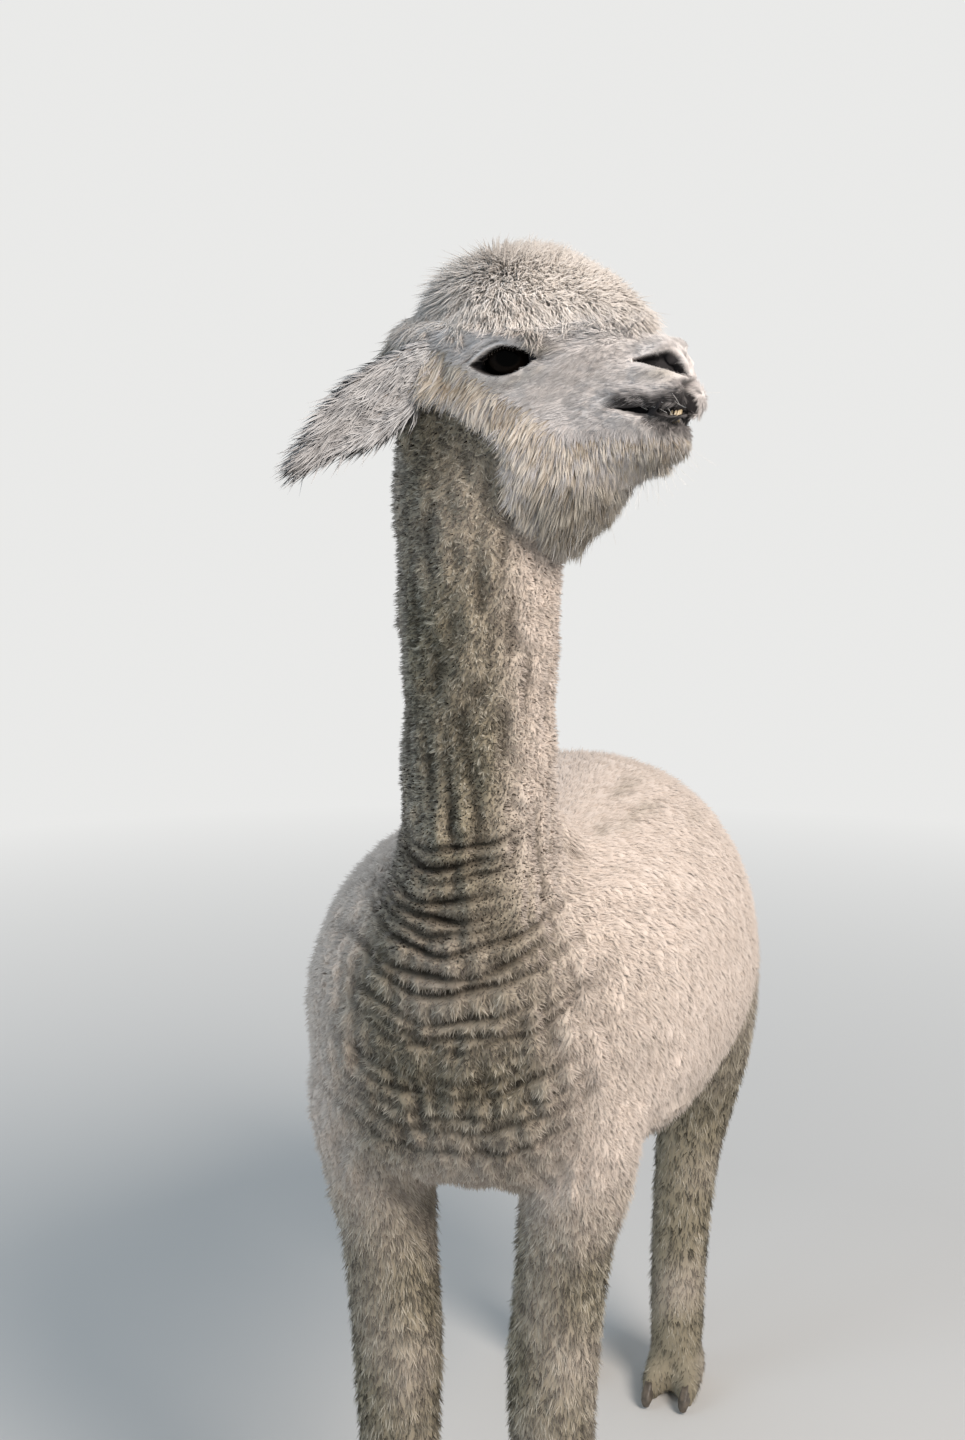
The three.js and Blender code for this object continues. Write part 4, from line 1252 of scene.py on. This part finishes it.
def wool(name, clean, root_shade, dull, face=None, pale=None):
    """Fleece: darker at a lock's root than at its tip, duller in some locks, and marked like the skin."""
    made = Finish(name)
    along, tone = made.attribute("along"), made.attribute("tone")
    drift = made.ramp(made.noise(26, 4), [(0.3, (0.86, 0.85, 0.84, 1)), (0.7, WHITE)])
    colour = made.mix(made.attribute("face"), clean, face or clean)
    if pale:
        colour = made.mix(made.attribute("pale"), colour, pale)
    colour = made.mix(1.0, colour, drift, "MULTIPLY")
    # dirt and painted shade on the wool, darker in some locks than in others
    soil_and_shade = [(0.1, (0.060, 0.053, 0.040, 1)), (0.5, (0.175, 0.158, 0.120, 1)), (0.9, (0.56, 0.51, 0.41, 1))]
    colour = made.mix(made.attribute("dirt"), colour, made.ramp(tone, soil_and_shade))
    colour = made.mix(made.sum("MULTIPLY", made.attribute("grey"), 0.5), colour, GREY)
    colour = made.mix(made.attribute("crease"), colour, CREASE_SHADE)
    paler = made.ramp(tone, [(0.45, WHITE), (0.95, (0.62, 0.62, 0.62, 1))])
    colour = made.mix(made.sum("MULTIPLY", made.attribute("dark"), paler), colour, DARK_SKIN_AND_SHADE)
    each = made.ramp(tone, [(0, dull), (0.6, WHITE)])
    colour = made.mix(1.0, colour, each, "MULTIPLY")
    deep = made.ramp(along, [(0, root_shade), (0.7, WHITE)])
    colour = made.mix(1.0, colour, deep, "MULTIPLY")
    made.set(made.shader.inputs["Base Color"], colour)
    made.shader.inputs["Roughness"].default_value = 0.9
    made.shader.inputs["Specular IOR Level"].default_value = 0.25
    return made.material


fleece = wool("fleece", CLEAN, (0.70, 0.67, 0.64, 1), (0.94, 0.935, 0.93, 1))
crown_wool = wool(
    "crown_wool", (0.73, 0.675, 0.62, 1), (0.96, 0.95, 0.94, 1), (0.90, 0.89, 0.88, 1),
    pale=(0.94, 0.89, 0.835, 1),
)
face_hair = wool(
    "face_hair", FACE, (0.78, 0.765, 0.76, 1), (0.60, 0.595, 0.59, 1),
    pale=(0.94, 0.90, 0.87, 1),
)
# The jowl's hair is browner and darker than the face's: its own warm tone, with painted shade under the jaw.
jowl_hair = wool(
    "jowl_hair", (0.65, 0.575, 0.475, 1), (0.42, 0.375, 0.315, 1), (0.54, 0.485, 0.41, 1),
    face=(0.76, 0.69, 0.605, 1),
)
# The ear's hair is darker and bluer than the fleece: painted shade.
shaded_ear_wool = wool("shaded_ear_wool", (0.56, 0.555, 0.555, 1), (0.62, 0.62, 0.62, 1), (0.42, 0.425, 0.44, 1))

# Where each piece of the coat grows: not on the bare skin of the lips and eyelids, nor under the feet.
lip_rim = ((np.abs(above_lip - 1) < 2) | (np.abs(below_lip - 0.5) < 1.5)) & (beyond > 62)
dark_lip = on_muzzle & (padded(mouth_share) < 0.02) & (cleft < 0.5)
open_skin = ~lip_rim & ((marks["dark"] < 0.75) | dark_lip) & (places[:, 2] > 0.003)
head_hair = jowl & open_skin & ~crown
long_hair = head_hair & ((beard > 0.2) | (cheek_fur > 0.2))
outer_crown = np.where(crown, 1, 0.8 * ramp(crown_share, 0.02, 0.55))
inner_crown = np.where(crown, 1, 0.7 * ramp(crown_share, 0.15, 0.8))
chest = (name_of == "chest") * (1 + 1.4 * ramp(-places[:, 1], 0.2, 0.42))
barrel = (name_of == "barrel") * (1 + 0.5 * ramp(-places[:, 1], -0.1, 0.1))
upper_neck = (name_of == "neck_upper") & ~head_hair

# The pieces: name, where, how many locks, seed, finish, the axis of its unwrap, and how its locks differ.
forward, trunk, upright = tuple(forward_axis), (0, 1, 0), (0, 0, 1)
straight, nubs, bent = {}, {"clump": 5}, {"bent": True}
crown_look = {"soft": 0.32, "loose": 0.20, "lofty": 1.5}
regions = [
    ("coat_face", head_hair * (1 + ramp(f, 50, 90)), 44000, 1, face_hair, forward, {"clump": 18}),
    ("coat_jowl", long_hair, 9000, 9, jowl_hair, forward, {"clump": 16, "soft": 0.15, **bent}),
    ("coat_crown", outer_crown, 19900, 2, crown_wool, upright, {"clump": 14, **bent, **crown_look}),
    ("coat_crown_inner", inner_crown, 30000, 12, crown_wool, upright, {"under": True, **crown_look}),
    ("coat_neck_upper", upper_neck, 36000, 3, fleece, upright, nubs),
    ("coat_neck_lower", name_of == "neck_lower", 33000, 4, fleece, upright, nubs),
    ("coat_chest", chest, 39000, 5, fleece, trunk, {"clump": 6}),
    ("coat_barrel", barrel, 30000, 6, fleece, trunk, straight),
    ("coat_hindquarters", name_of == "hindquarters", 21000, 7, fleece, trunk, straight),
    ("coat_tail", name_of == "tail", 2500, 8, fleece, upright, bent),
]
for sign, word in ((1, "right"), (-1, "left")):
    on_side = np.char.find(name_of, word) > 0
    fore = np.char.startswith(name_of, "fore") & on_side
    hind = np.char.startswith(name_of, "hind") & on_side
    regions.append(("coat_foreleg_" + word, fore & open_skin, 13000, 10 + sign, fleece, upright, straight))
    regions.append(("coat_hindleg_" + word, hind & open_skin, 9000, 20 + sign, fleece, upright, straight))
    on_this = (ear_sign == sign) & (on_ear(places, sign)[:, 0] > 0)
    ear_axis = tuple(unit(from_head([EAR_ALONG * [1, sign, 1]]) - head_origin)[0])
    regions.append(("coat_ear_" + word, on_this, 4000, 30 + sign, shaded_ear_wool, ear_axis, bent))
for name, where, count, seed, material, axis, more in regions:
    grow(name, where, count, seed, material, axis, **more)


# ---- Lashes and whiskers ----
# Stiff tapering hairs, each set along a line on the skin: dark lashes on the upper lid, and pale whiskers on
# the upper lip, the chin and the jaw.
def hair_tree():
    """A node tree that sets one tapering hair at each of a number of points along the piece's own line."""
    tree = bpy.data.node_groups.new("hairs_along_a_line", "GeometryNodeTree")
    tree.interface.new_socket("Geometry", in_out="OUTPUT", socket_type="NodeSocketGeometry")
    tree.interface.new_socket("Geometry", in_out="INPUT", socket_type="NodeSocketGeometry")
    kinds = {"Count": "Int", "Length": "Float", "Thickness": "Float", "Bow": "Float", "Stray": "Float"}
    kinds.update({"Heading": "Vector", "Seed": "Int", "Material": "Material"})
    for name, kind in kinds.items():
        tree.interface.new_socket(name, in_out="INPUT", socket_type="NodeSocket" + kind)
    ends = tree.nodes.new("NodeGroupInput").outputs

    def node(kind, **values):
        made = tree.nodes.new(kind)
        for name, value in values.items():
            socket = made.inputs[name.replace("_", " ")]
            if isinstance(value, bpy.types.NodeSocket):
                tree.links.new(value, socket)
            else:
                socket.default_value = value
        return made

    line = node("GeometryNodeMeshToCurve", Mesh=ends["Geometry"]).outputs[0]
    line = node("GeometryNodeResampleCurve", Curve=line, Count=ends["Count"]).outputs[0]
    bow = node("ShaderNodeCombineXYZ", X=ends["Bow"], Z=0.55).outputs[0]
    hair = node("GeometryNodeCurveQuadraticBezier", Resolution=5, Start=(0, 0, 0), Middle=bow, End=(0, 0, 1))
    at = node("GeometryNodeSplineParameter").outputs["Factor"]
    taper = node("ShaderNodeMapRange", Value=at, To_Min=1.0, To_Max=0.12).outputs[0]
    relative = node("ShaderNodeMath")
    relative.operation = "DIVIDE"
    tree.links.new(ends["Thickness"], relative.inputs[0])
    tree.links.new(ends["Length"], relative.inputs[1])
    ring = node("GeometryNodeCurvePrimitiveCircle", Resolution=4, Radius=relative.outputs[0]).outputs[0]
    hair = node("GeometryNodeSetCurveRadius", Curve=hair.outputs[0], Radius=taper).outputs[0]
    hair = node("GeometryNodeCurveToMesh", Curve=hair, Profile_Curve=ring, Fill_Caps=True).outputs[0]
    stray = node("FunctionNodeRandomValue", Seed=ends["Seed"])
    stray.data_type = "FLOAT_VECTOR"
    stray.inputs[0].default_value = (-1, -1, -1)
    stray.inputs[1].default_value = (1, 1, 1)
    spread_out = node("ShaderNodeVectorMath")
    spread_out.operation = "SCALE"
    tree.links.new(stray.outputs[0], spread_out.inputs[0])
    tree.links.new(ends["Stray"], spread_out.inputs["Scale"])
    heading = node("ShaderNodeVectorMath")
    tree.links.new(ends["Heading"], heading.inputs[0])
    tree.links.new(spread_out.outputs[0], heading.inputs[1])
    turned = node("FunctionNodeAlignRotationToVector", Vector=heading.outputs[0])
    turned.axis = "Z"
    share = node("FunctionNodeRandomValue", Seed=ends["Seed"])
    share.inputs[2].default_value = 0.55
    share.inputs[3].default_value = 1.0
    size = node("ShaderNodeMath")
    size.operation = "MULTIPLY"
    tree.links.new(share.outputs[1], size.inputs[0])
    tree.links.new(ends["Length"], size.inputs[1])
    set_out = node("GeometryNodeInstanceOnPoints", Points=line, Instance=hair, Rotation=turned.outputs[0])
    tree.links.new(size.outputs[0], set_out.inputs["Scale"])
    made = node("GeometryNodeRealizeInstances", Geometry=set_out.outputs[0]).outputs[0]
    made = node("GeometryNodeSetMaterial", Geometry=made, Material=ends["Material"]).outputs[0]
    tree.links.new(made, tree.nodes.new("NodeGroupOutput").inputs[0])
    return tree


hairs = hair_tree()


def hairs_along(name, line, **values):
    """One piece of hairs along a line on the head: lengths in mm, the heading in the head's axes."""
    base = bpy.data.meshes.new(name + "_line")
    links = [(i, i + 1) for i in range(len(line) - 1)]
    base.from_pydata(from_head(np.array(line, float)).tolist(), links, [])
    holder = bpy.data.objects.new(name, base)
    bpy.context.scene.collection.objects.link(holder)
    grower = holder.modifiers.new("hairs", "NODES")
    grower.node_group = hairs
    sockets = {item.name: item.identifier for item in hairs.interface.items_tree if item.in_out == "INPUT"}
    values["Length"] *= MM
    values["Thickness"] *= MM
    values["Heading"] = (from_head(np.array([values["Heading"]], float))[0] - head_origin) / MM
    for key, value in values.items():
        grower[sockets[key]] = value
    bpy.context.view_layer.update()
    evaluated = holder.evaluated_get(bpy.context.evaluated_depsgraph_get())
    made = bpy.data.meshes.new_from_object(evaluated)
    holder.modifiers.remove(grower)
    holder.data = made
    bpy.data.meshes.remove(base)
    for polygon in made.polygons:
        polygon.use_smooth = True
    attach(holder, "root")


lash = Finish("lash")
lash.shader.inputs["Base Color"].default_value = (0.035, 0.026, 0.020, 1)
lash.shader.inputs["Roughness"].default_value = 0.6
whisker = Finish("whisker")
whisker.shader.inputs["Base Color"].default_value = (0.85, 0.82, 0.77, 1)
whisker.shader.inputs["Roughness"].default_value = 0.6
# A row of whiskers: its name, its ends on the right side, how many, their length, heading and seed.
WHISKERS = [
    ("chin_back", [(84, 10, -92), (112, 12, -84)], 9, 42, (0.15, 0.3, -1), 21),
    ("chin_front", [(112, 14, -80), (124, 12, -62)], 8, 34, (0.6, 0.35, -0.9), 22),
    ("lip", [(104, 30, -30), (128, 26, -26)], 7, 22, (0.7, 0.6, -0.3), 23),
    ("jaw", [(30, 16, -118), (60, 14, -104)], 7, 36, (0.0, 0.3, -1), 24),
]
head_surface = to_head(places[on_body & (np.linalg.norm(to_head(places), axis=1) < 200)])
for sign, word in ((1, "right"), (-1, "left")):
    line = []
    for a, b in lid_line(UPPER_LID):
        if -20 < a < 27:
            out = math.sqrt(max((EYE_RADIUS + 1.2) ** 2 - (a - EYE_FORWARD) ** 2 - b ** 2, 0))
            line.append((a, (EYE_SIDE + out) * sign, b))
    hairs_along("lashes_" + word, line, Count=60, Length=9.0, Thickness=0.2, Bow=0.14, Stray=0.16,
                Heading=(0.45, 0.9 * sign, -0.42), Seed=5, Material=lash.material)
    for part, ends, count, length, heading, seed in WHISKERS:
        path = path_samples([(a, b * sign, c) for a, b, c in ends], 4)
        hairs_along("whiskers_%s_%s" % (part, word), snapped(path, head_surface), Count=count, Length=length,
                    Thickness=0.11, Bow=0.12, Stray=0.32, Heading=(heading[0], heading[1] * sign, heading[2]),
                    Seed=seed + sign, Material=whisker.material)


# ---- Floor and lights ----
# A pale paper floor that fades into a plain pale backdrop, a warm soft lamp in front on the animal's left, a
# cool weak one on its right, and an even pale sky.
BACKDROP = (0.82, 0.82, 0.81, 1)
FLOOR = (0.60, 0.595, 0.58, 1)
FLOOR_HALF = 40
FADE_START, FADE_END = 1.0, 3.4
corners = [(x * FLOOR_HALF, y * FLOOR_HALF, 0) for x, y in ((-1, -1), (1, -1), (1, 1), (-1, 1))]
floor_mesh = bpy.data.meshes.new("floor")
floor_mesh.from_pydata(corners, [], [(0, 1, 2, 3)])
floor = bpy.data.objects.new("floor", floor_mesh)
bpy.context.scene.collection.objects.link(floor)
paper = Finish("paper")
paper.shader.inputs["Base Color"].default_value = FLOOR
paper.shader.inputs["Roughness"].default_value = 0.9
paper.shader.inputs["Specular IOR Level"].default_value = 0.1
place = paper.nodes.new("ShaderNodeTexCoord").outputs["Object"]
reach = paper.nodes.new("ShaderNodeVectorMath")
reach.operation = "LENGTH"
paper.set(reach.inputs[0], place)
rays = paper.nodes.new("ShaderNodeLightPath").outputs
seen = paper.sum("ADD", rays["Is Camera Ray"], rays["Is Glossy Ray"])
seen = paper.sum("ADD", seen, rays["Is Transmission Ray"])
far = paper.node("ShaderNodeMapRange", Value=reach.outputs["Value"], From_Min=FADE_START, From_Max=FADE_END)
glow = paper.node("ShaderNodeEmission", Color=BACKDROP)
fade = paper.nodes.new("ShaderNodeMixShader")
paper.set(fade.inputs[0], paper.sum("MULTIPLY", far.outputs[0], seen))
paper.set(fade.inputs[1], paper.shader.outputs[0])
paper.set(fade.inputs[2], glow.outputs[0])
paper.set(paper.nodes["Material Output"].inputs[0], fade.outputs[0])
floor_mesh.materials.append(paper.material)


def lamp(name, place, size, power, colour):
    """A round soft lamp that points at the middle of the animal."""
    light = bpy.data.lights.new(name, "AREA")
    light.shape = "DISK"
    light.size = size
    light.energy = power
    light.color = colour
    holder = bpy.data.objects.new(name, light)
    bpy.context.scene.collection.objects.link(holder)
    holder.location = place
    holder.rotation_euler = (Vector((0, 0, 0.8)) - Vector(place)).to_track_quat("-Z", "Y").to_euler()
    return holder


lamp("key", (2.6, -2.0, 3.1), 1.8, 176, (1, 0.905, 0.83))
fill = lamp("fill", (-3.0, -2.5, 1.8), 2.5, 40, (0.64, 0.83, 1))
fill.visible_glossy = False

# The sky lights the animal, and what the camera and reflections see of it is the plain backdrop.
world = bpy.data.worlds.new("world")
world.use_nodes = True
sky = world.node_tree
sky.nodes["Background"].inputs["Color"].default_value = (0.84, 0.92, 1, 1)
sky.nodes["Background"].inputs["Strength"].default_value = 0.55
backdrop = sky.nodes.new("ShaderNodeBackground")
backdrop.inputs["Color"].default_value = BACKDROP
rays = sky.nodes.new("ShaderNodeLightPath").outputs
share = rays["Is Camera Ray"]
for kind in ("Is Glossy Ray", "Is Transmission Ray"):
    also = sky.nodes.new("ShaderNodeMath")
    also.use_clamp = True
    sky.links.new(share, also.inputs[0])
    sky.links.new(rays[kind], also.inputs[1])
    share = also.outputs[0]
either = sky.nodes.new("ShaderNodeMixShader")
sky.links.new(share, either.inputs[0])
sky.links.new(sky.nodes["Background"].outputs[0], either.inputs[1])
sky.links.new(backdrop.outputs[0], either.inputs[2])
sky.links.new(either.outputs[0], sky.nodes["World Output"].inputs[0])
bpy.context.scene.world = world
bpy.context.scene.view_settings.view_transform = "Standard"
